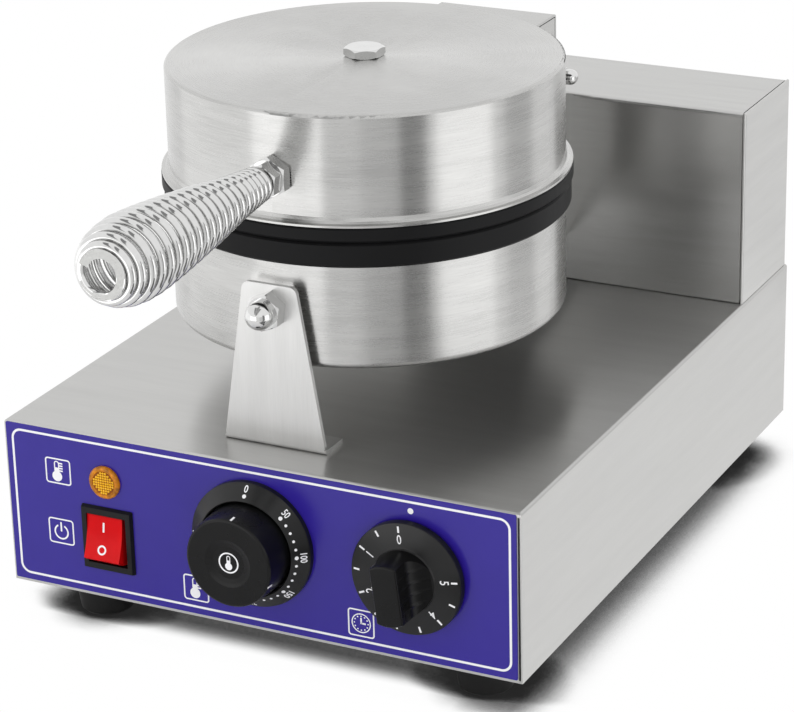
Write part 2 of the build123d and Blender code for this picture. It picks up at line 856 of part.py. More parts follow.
with BuildPart() as lower_shell:
    upright(lower_z, lower_shell_h, drum_r, 0, drum_y)
    fillet(lower_shell.faces().sort_by(Axis.Z)[0].edges(), 3.0)
    upright(lower_z + wall, lower_shell_h, drum_r - wall, 0, drum_y, Mode.SUBTRACT)
    upright(lower_z, wall, bolt_r + running, 0, drum_y, Mode.SUBTRACT)
    along_y(drum_front_y - 1, drum_front_y + 5, 4.0 + running, 0, front_stud_z, Mode.SUBTRACT)
    along_y(drum_rear_y - 5, drum_rear_y + 1, conduit_r + fit_gap, 0, conduit_z, Mode.SUBTRACT)
    for x in (-saddle_screw_x, saddle_screw_x):
        for z in saddle_screw_zs:
            along_y(drum_rear_y - 8, drum_rear_y, small_screw_r + running, x, z, Mode.SUBTRACT)
lower_shell.part.label = "lower_shell"


def baking_grooves(face_z, depth_up):
    """Cuts the waffle pattern into a baking face; depth_up is +1 for the upper plate."""
    with BuildSketch(Plane.XY.offset(face_z)) as pattern:
        with Locations((0, drum_y)):
            with GridLocations(groove_pitch, 0, 13, 1):
                Rectangle(groove_w, 2 * bake_r)
            with GridLocations(0, groove_pitch, 1, 13):
                Rectangle(2 * bake_r, groove_w)
            Circle(bake_r - 2, mode=Mode.INTERSECT)
    extrude(pattern.sketch, amount=depth_up * groove_d, mode=Mode.SUBTRACT)


with BuildPart() as lower_plate:
    spin(
        (
            (0, lower_rim_z),
            (lower_plate_r - 1.2, lower_rim_z),
            (lower_plate_r, lower_rim_z + 1.2),
            (lower_plate_r, seam_z - 1.0),
            (lower_plate_r - 1.0, seam_z),
            (bake_r + 0.6, seam_z),
            (bake_r, seam_z - bake_inset),
            (0, seam_z - bake_inset),
        ),
        drum_axis,
        section_plane(),
    )
    upright(lower_rim_z - plate_step_h, plate_step_h, plate_step_r, 0, drum_y)
    upright(lower_rim_z - plate_step_h, plate_step_h, plate_step_r - 3, 0, drum_y, Mode.SUBTRACT)
    upright(lower_rim_z - boss_h, boss_h, boss_r, 0, drum_y)
    upright(lower_rim_z - boss_h, boss_h, bolt_r + running, 0, drum_y, Mode.SUBTRACT)
    baking_grooves(seam_z - bake_inset, -1)
lower_plate.part.label = "lower_plate"


def heater_coil(centre_z, terminal_up):
    """Ring heater of round tube, with two upright terminal ends at the rear."""
    plane = section_plane()
    with BuildSketch(plane) as tube:
        with Locations((heater_ring_r, centre_z)):
            Circle(heater_tube_r)
    revolve(tube.sketch, axis=drum_axis)
    for x in (-8, 8):
        y = drum_y + sqrt(heater_ring_r**2 - x**2)
        upright(centre_z - terminal_up / 12, terminal_up * 13 / 12, 2.4, x, y)


with BuildPart() as lower_heater:
    heater_coil(lower_rim_z - heater_tube_r - 0.15, -18)
lower_heater.part.label = "lower_heater"

lower_clamp_z = lower_rim_z - 2 * heater_tube_r - 0.25 - clamp_disc_t

with BuildPart() as lower_clamp_disc:
    upright(lower_clamp_z, clamp_disc_t, clamp_disc_r, 0, drum_y)
    upright(lower_clamp_z, clamp_disc_t, bolt_r + running, 0, drum_y, Mode.SUBTRACT)
    for x in (-8, 8):
        y = drum_y + sqrt(heater_ring_r**2 - x**2)
        upright(lower_clamp_z, clamp_disc_t, 3.0, x, y, Mode.SUBTRACT)
lower_clamp_disc.part.label = "lower_clamp_disc"

with BuildPart() as lower_insulation:
    upright(lower_clamp_z - insulation_h, insulation_h, insulation_r, 0, drum_y)
    upright(lower_clamp_z - insulation_h, insulation_h, bolt_r + 1, 0, drum_y, Mode.SUBTRACT)
    for x in (-8, 8):
        y = drum_y + sqrt(heater_ring_r**2 - x**2)
        upright(lower_clamp_z - insulation_h, insulation_h, 3.0, x, y, Mode.SUBTRACT)
lower_insulation.part.label = "lower_insulation"

with BuildPart() as lower_center_bolt:
    hex_along_z(lower_z - 4, 4, bolt_flats, 0, drum_y, 30)
    upright(lower_z, lower_rim_z - lower_z - 1, bolt_r, 0, drum_y)
lower_center_bolt.part.label = "lower_center_bolt"

with BuildPart() as thermostat_sensor:
    along_x(-30, 30, 3.2, drum_y - 28, lower_rim_z - 3.4)
    fillet(thermostat_sensor.faces().filter_by(Axis.X).edges(), 2.0)
thermostat_sensor.part.label = "thermostat_sensor"

# ================================================================ lid: upper half of the drum
handle_z = upper_z + 20.3
lid_flange_r = 90.9
lid_flange_t = 0.9
arm_x = 29.5
arm_z1 = upper_z + 33.0
arm_screw_x = 16.0
arm_screw_zs = (upper_z + 9, upper_z + 26)

with BuildPart() as upper_shell:
    upright(upper_z, upper_shell_h, drum_r, 0, drum_y)
    fillet(upper_shell.faces().sort_by(Axis.Z)[-1].edges(), 1.5)
    spin(
        (
            (drum_r - 0.6, upper_z),
            (lid_flange_r, upper_z),
            (lid_flange_r, upper_z + lid_flange_t),
            (drum_r + 1.6, upper_z + 1.3),
            (drum_r + 0.6, upper_z + 2.1),
            (drum_r, upper_z + 3.6),
            (drum_r - 0.6, upper_z + 3.6),
        ),
        drum_axis,
        section_plane(),
    )
    upright(upper_z, upper_shell_h - wall, drum_r - wall, 0, drum_y, Mode.SUBTRACT)
    upright(drum_top - wall, wall, bolt_r + running, 0, drum_y, Mode.SUBTRACT)
    along_y(drum_front_y - 1, drum_front_y + 5, 3.5 + running, handle_x, handle_z, Mode.SUBTRACT)
    for x in (-arm_screw_x, arm_screw_x):
        for z in arm_screw_zs:
            along_y(drum_rear_y - 8, drum_rear_y, small_screw_r + running, x, z, Mode.SUBTRACT)
upper_shell.part.label = "upper_shell"

with BuildPart() as upper_plate:
    spin(
        (
            (0, upper_z),
            (upper_plate_r - 1.0, upper_z),
            (upper_plate_r, upper_z - 1.0),
            (upper_plate_r, upper_plate_z + 1.2),
            (upper_plate_r - 1.2, upper_plate_z),
            (bake_r + 0.6, upper_plate_z),
            (bake_r, upper_plate_z + bake_inset),
            (0, upper_plate_z + bake_inset),
        ),
        drum_axis,
        section_plane(),
    )
    upright(upper_z, plate_step_h, plate_step_r, 0, drum_y)
    upright(upper_z, plate_step_h, plate_step_r - 3, 0, drum_y, Mode.SUBTRACT)
    upright(upper_z, boss_h, boss_r, 0, drum_y)
    upright(upper_z, boss_h, bolt_r + running, 0, drum_y, Mode.SUBTRACT)
    baking_grooves(upper_plate_z + bake_inset, 1)
upper_plate.part.label = "upper_plate"

with BuildPart() as upper_heater:
    heater_coil(upper_z + heater_tube_r + 0.1, 18)
upper_heater.part.label = "upper_heater"

upper_clamp_z = upper_z + 2 * heater_tube_r + 0.2

with BuildPart() as upper_clamp_disc:
    upright(upper_clamp_z, clamp_disc_t, clamp_disc_r, 0, drum_y)
    upright(upper_clamp_z, clamp_disc_t, bolt_r + running, 0, drum_y, Mode.SUBTRACT)
    for x in (-8, 8):
        y = drum_y + sqrt(heater_ring_r**2 - x**2)
        upright(upper_clamp_z, clamp_disc_t, 3.0, x, y, Mode.SUBTRACT)
upper_clamp_disc.part.label = "upper_clamp_disc"

with BuildPart() as upper_insulation:
    upright(upper_clamp_z + clamp_disc_t, insulation_h, insulation_r, 0, drum_y)
    upright(upper_clamp_z + clamp_disc_t, insulation_h, bolt_r + 1, 0, drum_y, Mode.SUBTRACT)
    for x in (-8, 8):
        y = drum_y + sqrt(heater_ring_r**2 - x**2)
        upright(upper_clamp_z + clamp_disc_t, insulation_h, 3.0, x, y, Mode.SUBTRACT)
upper_insulation.part.label = "upper_insulation"

with BuildPart() as lid_center_bolt:
    hex_along_z(drum_top, 4.0, bolt_flats, 0, drum_y, 30)
    bolt_axis_plane = section_plane()
    spin(
        ((7.6, drum_top + 4.0), (9.6, drum_top + 4.0), (9.6, drum_top + 2.9)),
        drum_axis,
        bolt_axis_plane,
        Mode.SUBTRACT,
    )
    upright(upper_z + 1, drum_top - upper_z - 1, bolt_r, 0, drum_y)
lid_center_bolt.part.label = "lid_center_bolt"

# ================================================================ hinge
hinge_y = front_y + 249.0
hinge_z = upper_z + 4.45
hinge_pin_r = 2.5
arm_y1 = front_y + 254.5
arm_z0 = upper_z
cover_gap = 0.4
cheek_t = 2.0
ear_r = 7.5
ear_x0 = 31.0
ear_x1 = ear_x0 + cheek_t
channel_z0 = body_top + 22
channel_z1 = upper_z - 3.85

with BuildPart() as hinge_bracket:
    for side in (-1, 1):
        with BuildSketch(side_plane(side * ear_x0)) as cheek:
            with BuildLine():
                Polyline(
                    (drum_y + 75, saddle_z0),
                    (housing_y0, channel_z0),
                    (housing_y0, hinge_z),
                    (hinge_y - ear_r, hinge_z),
                    (hinge_y - ear_r, channel_z1),
                    (drum_y + 75, channel_z1),
                    close=True,
                )
            make_face()
            with Locations((hinge_y, hinge_z)):
                Circle(ear_r)
        extrude(cheek.sketch, amount=side * cheek_t)
    block(-ear_x0, ear_x0, housing_y0 - cheek_t, housing_y0, channel_z0, channel_z1 - 1)
    block(-ear_x0, ear_x0, drum_y + 75, saddle_back_y, saddle_z0, saddle_z1)
    upright(body_top, lower_rim_z - body_top - 0.3, drum_r + 0.1, 0, drum_y, Mode.SUBTRACT)
    upright(lower_rim_z - 0.3, 20, upper_plate_r + 1.6, 0, drum_y, Mode.SUBTRACT)
    along_x(-ear_x1, ear_x1, hinge_pin_r + running, hinge_y, hinge_z, Mode.SUBTRACT)
    along_y(drum_rear_y - 5, housing_y0, conduit_r + fit_gap, 0, conduit_z, Mode.SUBTRACT)
    for x in (-saddle_screw_x, saddle_screw_x):
        for z in saddle_screw_zs:
            along_y(drum_y + 75, saddle_back_y, small_screw_r + running, x, z, Mode.SUBTRACT)
    for x in (-bracket_screw_x, bracket_screw_x):
        for z in bracket_screw_zs:
            along_y(
                housing_y0 - cheek_t, housing_y0, small_screw_r + running, x, z, Mode.SUBTRACT
            )
hinge_bracket.part.label = "hinge_bracket"

# One size of screw holds the bracket to the drum and to the rear housing.
with BuildPart() as hinge_bracket_screws:
    for x in (-saddle_screw_x, saddle_screw_x):
        for z in saddle_screw_zs:
            along_y(saddle_back_y, saddle_back_y + 2.2, 3.6, x, z)
            along_y(drum_rear_y - 7.5, saddle_back_y, small_screw_r, x, z)
    for x in (-bracket_screw_x, bracket_screw_x):
        for z in bracket_screw_zs:
            along_y(housing_y0 - cheek_t - 2.2, housing_y0 - cheek_t, 3.6, x, z)
            along_y(housing_y0 - cheek_t, housing_y0 + 7.5, small_screw_r, x, z)
hinge_bracket_screws.part.label = "hinge_bracket_screws"

with BuildPart() as conduit:
    along_y(drum_rear_y - 6, housing_y0 + 8, conduit_r, 0, conduit_z)
    along_y(drum_rear_y - 6, housing_y0 + 8, conduit_r - 1.2, 0, conduit_z, Mode.SUBTRACT)
conduit.part.label = "conduit"

nut_gap = 4.0
pin_half = ear_x1 + 7.0

with BuildPart() as hinge_pin:
    along_x(-pin_half, pin_half, hinge_pin_r, hinge_y, hinge_z)
hinge_pin.part.label = "hinge_pin"

washer_t = 1.2
with BuildPart() as hinge_washers:
    for side in (-1, 1):
        along_x(side * (ear_x0 - washer_t), side * ear_x0, 5.0, hinge_y, hinge_z)
    along_x(-ear_x0, ear_x0, hinge_pin_r + running, hinge_y, hinge_z, Mode.SUBTRACT)
hinge_washers.part.label = "hinge_washers"

dome_hex_w = 4.0
dome_r = 3.7
with BuildPart() as hinge_cap_nuts:
    for side in (-1, 1):
        with BuildSketch(side_plane(side * ear_x1)) as nut_outline:
            with Locations((hinge_y, hinge_z)):
                RegularPolygon(4.0, 6, major_radius=False, rotation=30)
        extrude(nut_outline.sketch, amount=side * dome_hex_w)
        nut_x = side * (ear_x1 + dome_hex_w)
        along_x(nut_x, nut_x + side * 2.2, dome_r, hinge_y, hinge_z)
        with Locations((nut_x + side * 2.2, hinge_y, hinge_z)):
            Sphere(dome_r)
    along_x(-pin_half - 0.2, pin_half + 0.2, hinge_pin_r + running, hinge_y, hinge_z, Mode.SUBTRACT)
hinge_cap_nuts.part.label = "hinge_cap_nuts"

arm_tube_r = 4.0
arm_tie_z = (arm_z1 - 18, arm_z1 - 6)
cover_screw_x = 15.0
cover_screw_z = arm_z1 - 12

with BuildPart() as hinge_arm:
    cheek_top = arm_z1 - sheet - cover_gap
    cheek_back = arm_y1 - sheet - cover_gap
    block(-arm_x, arm_x, drum_y + 75, cheek_back, arm_z0, cheek_top)
    block(
        -arm_x + sheet,
        arm_x - sheet,
        drum_rear_y + 2.5,
        cheek_back,
        arm_z0,
        cheek_top,
        Mode.SUBTRACT,
    )
    along_x(-arm_x + 0.5, arm_x - 0.5, arm_tube_r, hinge_y, hinge_z)
    block(-arm_x + 0.5, arm_x - 0.5, cheek_back - 1.4, cheek_back, *arm_tie_z)
    along_x(-arm_x, arm_x, hinge_pin_r + running, hinge_y, hinge_z, Mode.SUBTRACT)
    upright(arm_z0, 60, drum_r + 0.1, 0, drum_y, Mode.SUBTRACT)
    upright(arm_z0 - 1, 5.0, lid_flange_r + 0.3, 0, drum_y, Mode.SUBTRACT)
    for x in (-arm_screw_x, arm_screw_x):
        for z in arm_screw_zs:
            along_y(
                drum_y + 75, drum_rear_y + 2.5, small_screw_r + running, x, z, Mode.SUBTRACT
            )
    for x in (-cover_screw_x, cover_screw_x):
        along_y(
            cheek_back - 1.4,
            cheek_back,
            small_screw_r + running,
            x,
            cover_screw_z,
            Mode.SUBTRACT,
        )
hinge_arm.part.label = "hinge_arm"

with BuildPart() as hinge_arm_cover:
    block(-arm_x, arm_x, drum_y + 75, arm_y1, arm_z0 + 0.5, arm_z1)
    back_top_edge = hinge_arm_cover.edges().filter_by(Axis.X).group_by(Axis.Z)[-1].sort_by(Axis.Y)
    fillet(back_top_edge[-1], 2.0)
    block(
        -arm_x,
        arm_x,
        drum_y + 75,
        arm_y1 - sheet,
        arm_z0 + 0.5,
        arm_z1 - sheet,
        Mode.SUBTRACT,
    )
    upright(arm_z0, 60, drum_r + 0.1, 0, drum_y, Mode.SUBTRACT)
    for x in (-cover_screw_x, cover_screw_x):
        along_y(
            arm_y1 - sheet, arm_y1, small_screw_r + running, x, cover_screw_z, Mode.SUBTRACT
        )
hinge_arm_cover.part.label = "hinge_arm_cover"

with BuildPart() as arm_cover_screws:
    for x in (-cover_screw_x, cover_screw_x):
        along_y(arm_y1, arm_y1 + 1.4, 3.4, x, cover_screw_z)
        along_y(arm_y1 - 6, arm_y1, small_screw_r, x, cover_screw_z)
arm_cover_screws.part.label = "arm_cover_screws"

with BuildPart() as arm_screws:
    for x in (-arm_screw_x, arm_screw_x):
        for z in arm_screw_zs:
            along_y(drum_rear_y + 2.5, drum_rear_y + 4.7, 3.6, x, z)
            along_y(drum_rear_y - 6.5, drum_rear_y + 2.5, small_screw_r, x, z)
arm_screws.part.label = "arm_screws"

# ================================================================ handle
handle_stud_r = 3.5
jam_nut_t = 6.0         # a nut against the drum, and a second that the coil is screwed up to
coil_nut_t = 6.4
handle_lift = 1.25      # the handle rises this many degrees towards its tip
wire_r = 2.0
tight_turns = 4
tight_pitch = 4.05
open_pitch = 6.3
handle_back_y = drum_front_y + 0.05 - jam_nut_t - coil_nut_t
handle_tip_y = front_y - handle_reach + 0.3
handle_length = handle_back_y - handle_tip_y
handle_pivot = Axis((handle_x, drum_front_y, handle_z), (1, 0, 0))
# Outside radius of the coil at distances from its tip.
handle_profile = (
    (0.0, 10.3),
    (4.8, 14.7),
    (11.8, 17.3),
    (21.8, 18.3),
    (31.8, 17.8),
    (42.8, 16.9),
    (56.8, 15.5),
    (71.8, 13.8),
    (102.8, 9.7),
    (handle_length - 4, 8.0),
    (handle_length, 7.8),
)


def handle_radius(distance):
    """Outside radius of the coil, straight between the named distances from its tip."""
    for (s0, r0), (s1, r1) in zip(handle_profile, handle_profile[1:]):
        if distance <= s1:
            return r0 + (r1 - r0) * (distance - s0) / (s1 - s0)
    return handle_profile[-1][1]


with BuildPart() as straight_nuts:
    jam_nut_y = drum_front_y + 0.05 - jam_nut_t
    hex_along_y(jam_nut_y, drum_front_y + 1.0, 16.0, handle_x, handle_z)
    hex_along_y(handle_back_y, jam_nut_y, 14.0, handle_x, handle_z, -6.0)
    along_y(
        handle_back_y,
        drum_front_y + 1.0,
        handle_stud_r + running,
        handle_x,
        handle_z,
        Mode.SUBTRACT,
    )

with BuildPart() as handle_nut:
    add(straight_nuts.part.rotate(handle_pivot, -handle_lift))
    upright(drum_top - 60, 60, drum_r + 0.02, 0, drum_y, Mode.SUBTRACT)
handle_nut.part.label = "handle_nut"

with BuildPart() as straight_stud:
    along_y(handle_back_y - 26, drum_front_y + 8, handle_stud_r, handle_x, handle_z)
    hex_along_y(drum_front_y + 2.4, drum_front_y + 7.4, 13.0, handle_x, handle_z)

with BuildPart() as handle_stud:
    add(straight_stud.part.rotate(handle_pivot, -handle_lift))
handle_stud.part.label = "handle_stud"

coil_places = [wire_r + i * tight_pitch for i in range(tight_turns)]
while coil_places[-1] + open_pitch < handle_length - wire_r:
    coil_places.append(coil_places[-1] + open_pitch)
coil_places[-1] = handle_length - wire_r

with BuildPart() as straight_coil:
    coil_plane = Plane(
        origin=(handle_x, handle_back_y, handle_z), x_dir=(1, 0, 0), z_dir=(0, 0, 1)
    )
    coil_axis = Axis((handle_x, handle_back_y, handle_z), (0, 1, 0))
    web = [(handle_radius(handle_length - place) - wire_r, -place) for place in coil_places]
    with BuildSketch(coil_plane) as coil_section:
        for place in web:
            with Locations(place):
                Circle(wire_r)
        with BuildLine():
            Polyline(
                *[(r + 0.6, y) for r, y in web],
                *[(r - 0.6, y) for r, y in reversed(web)],
                close=True,
            )
        make_face()
    revolve(coil_section.sketch, axis=coil_axis)

with BuildPart() as handle_spring:
    add(straight_coil.part.rotate(handle_pivot, -handle_lift))
handle_spring.part.label = "handle_spring"

# ================================================================ STEP files
built = [
    base_shell.part,
    bottom_plate.part,
    back_panel.part,
    bottom_screws.part,
    *feet,
    foot_screws.part,
    panel_label.part,
    switch_housing.part,
    switch_rocker.part,
    lamp_lens.part,
    lamp_holder.part,
    thermostat_scale.part,
    thermostat_knob.part,
    thermostat_shaft.part,
    thermostat_body.part,
    thermostat_sensor.part,
    timer_knob.part,
    timer_shaft.part,
    timer_body.part,
    terminal_block.part,
    cable_gland.part,
    gland_nut.part,
    rear_housing.part,
    *cover_parts,
    housing_screws.part,
    front_bracket.part,
    bracket_screws.part,
    front_spacer.part,
    front_stud.part,
    front_cap_nut.part,
    lower_shell.part,
    lower_plate.part,
    lower_heater.part,
    lower_clamp_disc.part,
    lower_insulation.part,
    lower_center_bolt.part,
    conduit.part,
    hinge_bracket.part,
    hinge_bracket_screws.part,
    hinge_pin.part,
    hinge_washers.part,
    hinge_cap_nuts.part,
    upper_shell.part,
    upper_plate.part,
    upper_heater.part,
    upper_clamp_disc.part,
    upper_insulation.part,
    lid_center_bolt.part,
    hinge_arm.part,
    hinge_arm_cover.part,
    arm_cover_screws.part,
    arm_screws.part,
    handle_nut.part,
    handle_stud.part,
    handle_spring.part,
]
for shape in built:
    export_step(shape, f"parts/{shape.label}.step")
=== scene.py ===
import json
import math

import bmesh
import bpy
from mathutils import Matrix, Vector


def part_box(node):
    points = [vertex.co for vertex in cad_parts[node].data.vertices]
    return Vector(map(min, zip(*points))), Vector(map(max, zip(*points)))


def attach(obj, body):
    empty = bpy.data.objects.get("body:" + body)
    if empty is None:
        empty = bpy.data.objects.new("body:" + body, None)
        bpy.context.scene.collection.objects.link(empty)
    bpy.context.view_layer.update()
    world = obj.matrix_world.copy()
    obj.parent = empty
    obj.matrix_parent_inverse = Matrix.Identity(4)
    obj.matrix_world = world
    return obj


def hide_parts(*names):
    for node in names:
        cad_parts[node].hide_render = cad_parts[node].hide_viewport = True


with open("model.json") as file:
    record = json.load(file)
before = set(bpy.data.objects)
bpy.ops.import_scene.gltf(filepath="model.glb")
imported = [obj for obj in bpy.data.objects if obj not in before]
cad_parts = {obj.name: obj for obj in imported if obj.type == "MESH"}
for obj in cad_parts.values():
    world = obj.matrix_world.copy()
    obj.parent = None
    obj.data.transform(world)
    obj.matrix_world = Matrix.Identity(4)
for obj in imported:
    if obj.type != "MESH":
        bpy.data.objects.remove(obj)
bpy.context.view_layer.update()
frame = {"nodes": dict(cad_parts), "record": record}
MM = 0.001


# ------------------------------------------------------------------ places from the CAD
def span(node, axis):
    """Lowest and highest value of a CAD node along one axis, in millimetres."""
    low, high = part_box(node)
    return low[axis] / MM, high[axis] / MM


def middle(node, axis):
    low, high = span(node, axis)
    return (low + high) / 2


panel_y = span("panel_label", 1)[0]
panel_x0, panel_x1 = span("panel_label", 0)
panel_z0, panel_z1 = span("panel_label", 2)
dial_z = middle("thermostat_scale", 2)
thermostat_x = middle("thermostat_scale", 0)
timer_x = middle("timer_shaft", 0)
timer_z = middle("timer_shaft", 2)
lamp_x = middle("lamp_holder", 0)
lamp_z = middle("lamp_holder", 2)
switch_z = middle("switch_housing", 2)
drum_y = middle("upper_shell", 1)
drum_top = span("upper_shell", 2)[1]
drum_r = (span("lower_shell", 0)[1] - span("lower_shell", 0)[0]) / 2


# ------------------------------------------------------------------ materials
def new_material(name):
    made = bpy.data.materials.new(name)
    made.use_nodes = True
    tree = made.node_tree
    shader = tree.nodes["Principled BSDF"]
    return made, tree, shader


def node(tree, kind, **settings):
    made = tree.nodes.new(kind)
    for key, value in settings.items():
        setattr(made, key, value)
    return made


def stretched_noise(tree, scale, detail=3.0, coords=None):
    """Noise whose grain is stretched by a scale for each axis, in grains per metre."""
    if coords is None:
        coords = node(tree, "ShaderNodeTexCoord").outputs["Object"]
    mapping = node(tree, "ShaderNodeMapping")
    mapping.inputs["Scale"].default_value = scale
    tree.links.new(coords, mapping.inputs["Vector"])
    noise = node(tree, "ShaderNodeTexNoise")
    noise.inputs["Scale"].default_value = 1.0
    noise.inputs["Detail"].default_value = detail
    noise.inputs["Roughness"].default_value = 0.6
    tree.links.new(mapping.outputs["Vector"], noise.inputs["Vector"])
    return noise.outputs["Fac"]


RAMP_LOW, RAMP_HIGH = 0.3, 0.7      # noise below and above these is all dark and all light
SPREAD_LOW, SPREAD_HIGH = 0.25, 0.75


def ramp(tree, factor, dark, light):
    """Colour from dark to light over the middle of a noise."""
    made = node(tree, "ShaderNodeValToRGB")
    made.color_ramp.elements[0].position = RAMP_LOW
    made.color_ramp.elements[1].position = RAMP_HIGH
    made.color_ramp.elements[0].color = (*dark, 1)
    made.color_ramp.elements[1].color = (*light, 1)
    tree.links.new(factor, made.inputs["Fac"])
    return made.outputs["Color"]


def map_range(tree, value, start, end, low, high):
    """Turns a value between start and end into one between low and high, and holds it there."""
    made = node(tree, "ShaderNodeMapRange")
    made.inputs["From Min"].default_value = start
    made.inputs["From Max"].default_value = end
    made.inputs["To Min"].default_value = low
    made.inputs["To Max"].default_value = high
    tree.links.new(value, made.inputs["Value"])
    return made.outputs["Result"]


def spread(tree, factor, low, high):
    """A number from low to high over the middle of a noise."""
    return map_range(tree, factor, SPREAD_LOW, SPREAD_HIGH, low, high)


def bump(tree, shader, height, strength, distance):
    made = node(tree, "ShaderNodeBump")
    made.inputs["Strength"].default_value = strength
    made.inputs["Distance"].default_value = distance
    tree.links.new(height, made.inputs["Height"])
    tree.links.new(made.outputs["Normal"], shader.inputs["Normal"])


def set_tangent(tree, shader, direction):
    """Points the tangent across the normal and a direction, which is a vector or a socket."""
    across = node(tree, "ShaderNodeVectorMath", operation="CROSS_PRODUCT")
    tree.links.new(node(tree, "ShaderNodeNewGeometry").outputs["Normal"], across.inputs[0])
    if isinstance(direction, tuple):
        across.inputs[1].default_value = direction
    else:
        tree.links.new(direction, across.inputs[1])
    tree.links.new(across.outputs[0], shader.inputs["Tangent"])


def round_coordinates(tree, centre_y):
    """Coordinates (turn, radius, height) about the upright axis of the drum, in metres."""
    place = node(tree, "ShaderNodeSeparateXYZ")
    tree.links.new(node(tree, "ShaderNodeTexCoord").outputs["Object"], place.inputs[0])
    depth = node(tree, "ShaderNodeMath", operation="SUBTRACT")
    tree.links.new(place.outputs["Y"], depth.inputs[0])
    depth.inputs[1].default_value = centre_y
    turn = node(tree, "ShaderNodeMath", operation="ARCTAN2")
    tree.links.new(place.outputs["X"], turn.inputs[0])
    tree.links.new(depth.outputs[0], turn.inputs[1])
    flat = node(tree, "ShaderNodeCombineXYZ")
    tree.links.new(place.outputs["X"], flat.inputs["X"])
    tree.links.new(depth.outputs[0], flat.inputs["Y"])
    radius = node(tree, "ShaderNodeVectorMath", operation="LENGTH")
    tree.links.new(flat.outputs[0], radius.inputs[0])
    joined = node(tree, "ShaderNodeCombineXYZ")
    tree.links.new(turn.outputs[0], joined.inputs["X"])
    tree.links.new(radius.outputs["Value"], joined.inputs["Y"])
    tree.links.new(place.outputs["Z"], joined.inputs["Z"])
    return joined.outputs[0]


SIDEWAYS_NORMAL = 0.7       # a face whose normal has more X than this looks along X


def sheet_coordinates(tree):
    """Object coordinates for sheet metal, brushed along Y on faces that look along X."""
    coords = node(tree, "ShaderNodeTexCoord").outputs["Object"]
    place = node(tree, "ShaderNodeSeparateXYZ")
    tree.links.new(coords, place.inputs[0])
    swapped = node(tree, "ShaderNodeCombineXYZ")
    tree.links.new(place.outputs["Y"], swapped.inputs["X"])
    tree.links.new(place.outputs["X"], swapped.inputs["Y"])
    tree.links.new(place.outputs["Z"], swapped.inputs["Z"])
    facing = node(tree, "ShaderNodeSeparateXYZ")
    tree.links.new(node(tree, "ShaderNodeNewGeometry").outputs["Normal"], facing.inputs[0])
    size = node(tree, "ShaderNodeMath", operation="ABSOLUTE")
    tree.links.new(facing.outputs["X"], size.inputs[0])
    sideways = node(tree, "ShaderNodeMath", operation="GREATER_THAN")
    tree.links.new(size.outputs[0], sideways.inputs[0])
    sideways.inputs[1].default_value = SIDEWAYS_NORMAL
    chosen = node(tree, "ShaderNodeMix", data_type="VECTOR")
    tree.links.new(sideways.outputs[0], chosen.inputs["Factor"])
    tree.links.new(coords, chosen.inputs[4])
    tree.links.new(swapped.outputs[0], chosen.inputs[5])
    return chosen.outputs[1]


def steel(name, grain, broad_grain, tint, rough, anisotropy, tangent, contrast=1.0):
    """Satin stainless steel: grain is in grains per metre, and tangent is the brushing's
    direction, or "round" for brushing round the drum."""
    made, tree, shader = new_material(name)
    if tangent == "round":
        coords = round_coordinates(tree, drum_y * MM)
    else:
        coords = sheet_coordinates(tree)
    fine = stretched_noise(tree, grain, 4.0, coords)
    broad = stretched_noise(tree, broad_grain, 2.0, coords)
    mixed = node(tree, "ShaderNodeMath", operation="ADD")
    tree.links.new(fine, mixed.inputs[0])
    tree.links.new(broad, mixed.inputs[1])
    halved = node(tree, "ShaderNodeMath", operation="MULTIPLY")
    tree.links.new(mixed.outputs[0], halved.inputs[0])
    halved.inputs[1].default_value = 0.5
    dark = [c * (1 - 0.12 * contrast) for c in tint]
    light = [c * (1 + 0.1 * contrast) for c in tint]
    colour = ramp(tree, halved.outputs[0], dark, light)
    tree.links.new(colour, shader.inputs["Base Color"])
    tree.links.new(
        spread(tree, halved.outputs[0], rough - 0.02, rough + 0.03), shader.inputs["Roughness"]
    )
    shader.inputs["Metallic"].default_value = 1.0
    shader.inputs["Anisotropic"].default_value = anisotropy
    bump(tree, shader, fine, 0.14, 0.00004)
    if tangent == "round":
        tangent = node(tree, "ShaderNodeTangent", direction_type="RADIAL", axis="Z").outputs[0]
    set_tangent(tree, shader, tangent)
    return made


def plastic(
    name,
    colour,
    rough,
    bump_scale=2600.0,
    bump_strength=0.12,
    vary=0.12,
    coat=0.0,
    gloss=0.5,
    turned=False,
    patch=60,
):
    """Moulded plastic or rubber with a fine skin texture. vary is how far its patches differ,
    patch is patches per metre, and a turned piece has a lathe's grain about its Y axis."""
    made, tree, shader = new_material(name)
    skin = stretched_noise(tree, (bump_scale, bump_scale, bump_scale), 2.0)
    patches = stretched_noise(tree, (patch, patch, patch), 3.0)
    dark = [c * (1 - vary) for c in colour]
    light = [min(1.0, c * (1 + vary)) for c in colour]
    tree.links.new(ramp(tree, patches, dark, light), shader.inputs["Base Color"])
    tree.links.new(spread(tree, patches, rough - 0.04, rough + 0.05), shader.inputs["Roughness"])
    shader.inputs["Specular IOR Level"].default_value = gloss
    shader.inputs["Coat Weight"].default_value = coat
    shader.inputs["Coat Roughness"].default_value = 0.08
    bump(tree, shader, skin, bump_strength, 0.00005)
    if turned:
        shader.inputs["Anisotropic"].default_value = 0.8
        along = node(tree, "ShaderNodeTangent", direction_type="RADIAL", axis="Y")
        set_tangent(tree, shader, along.outputs[0])
    return made


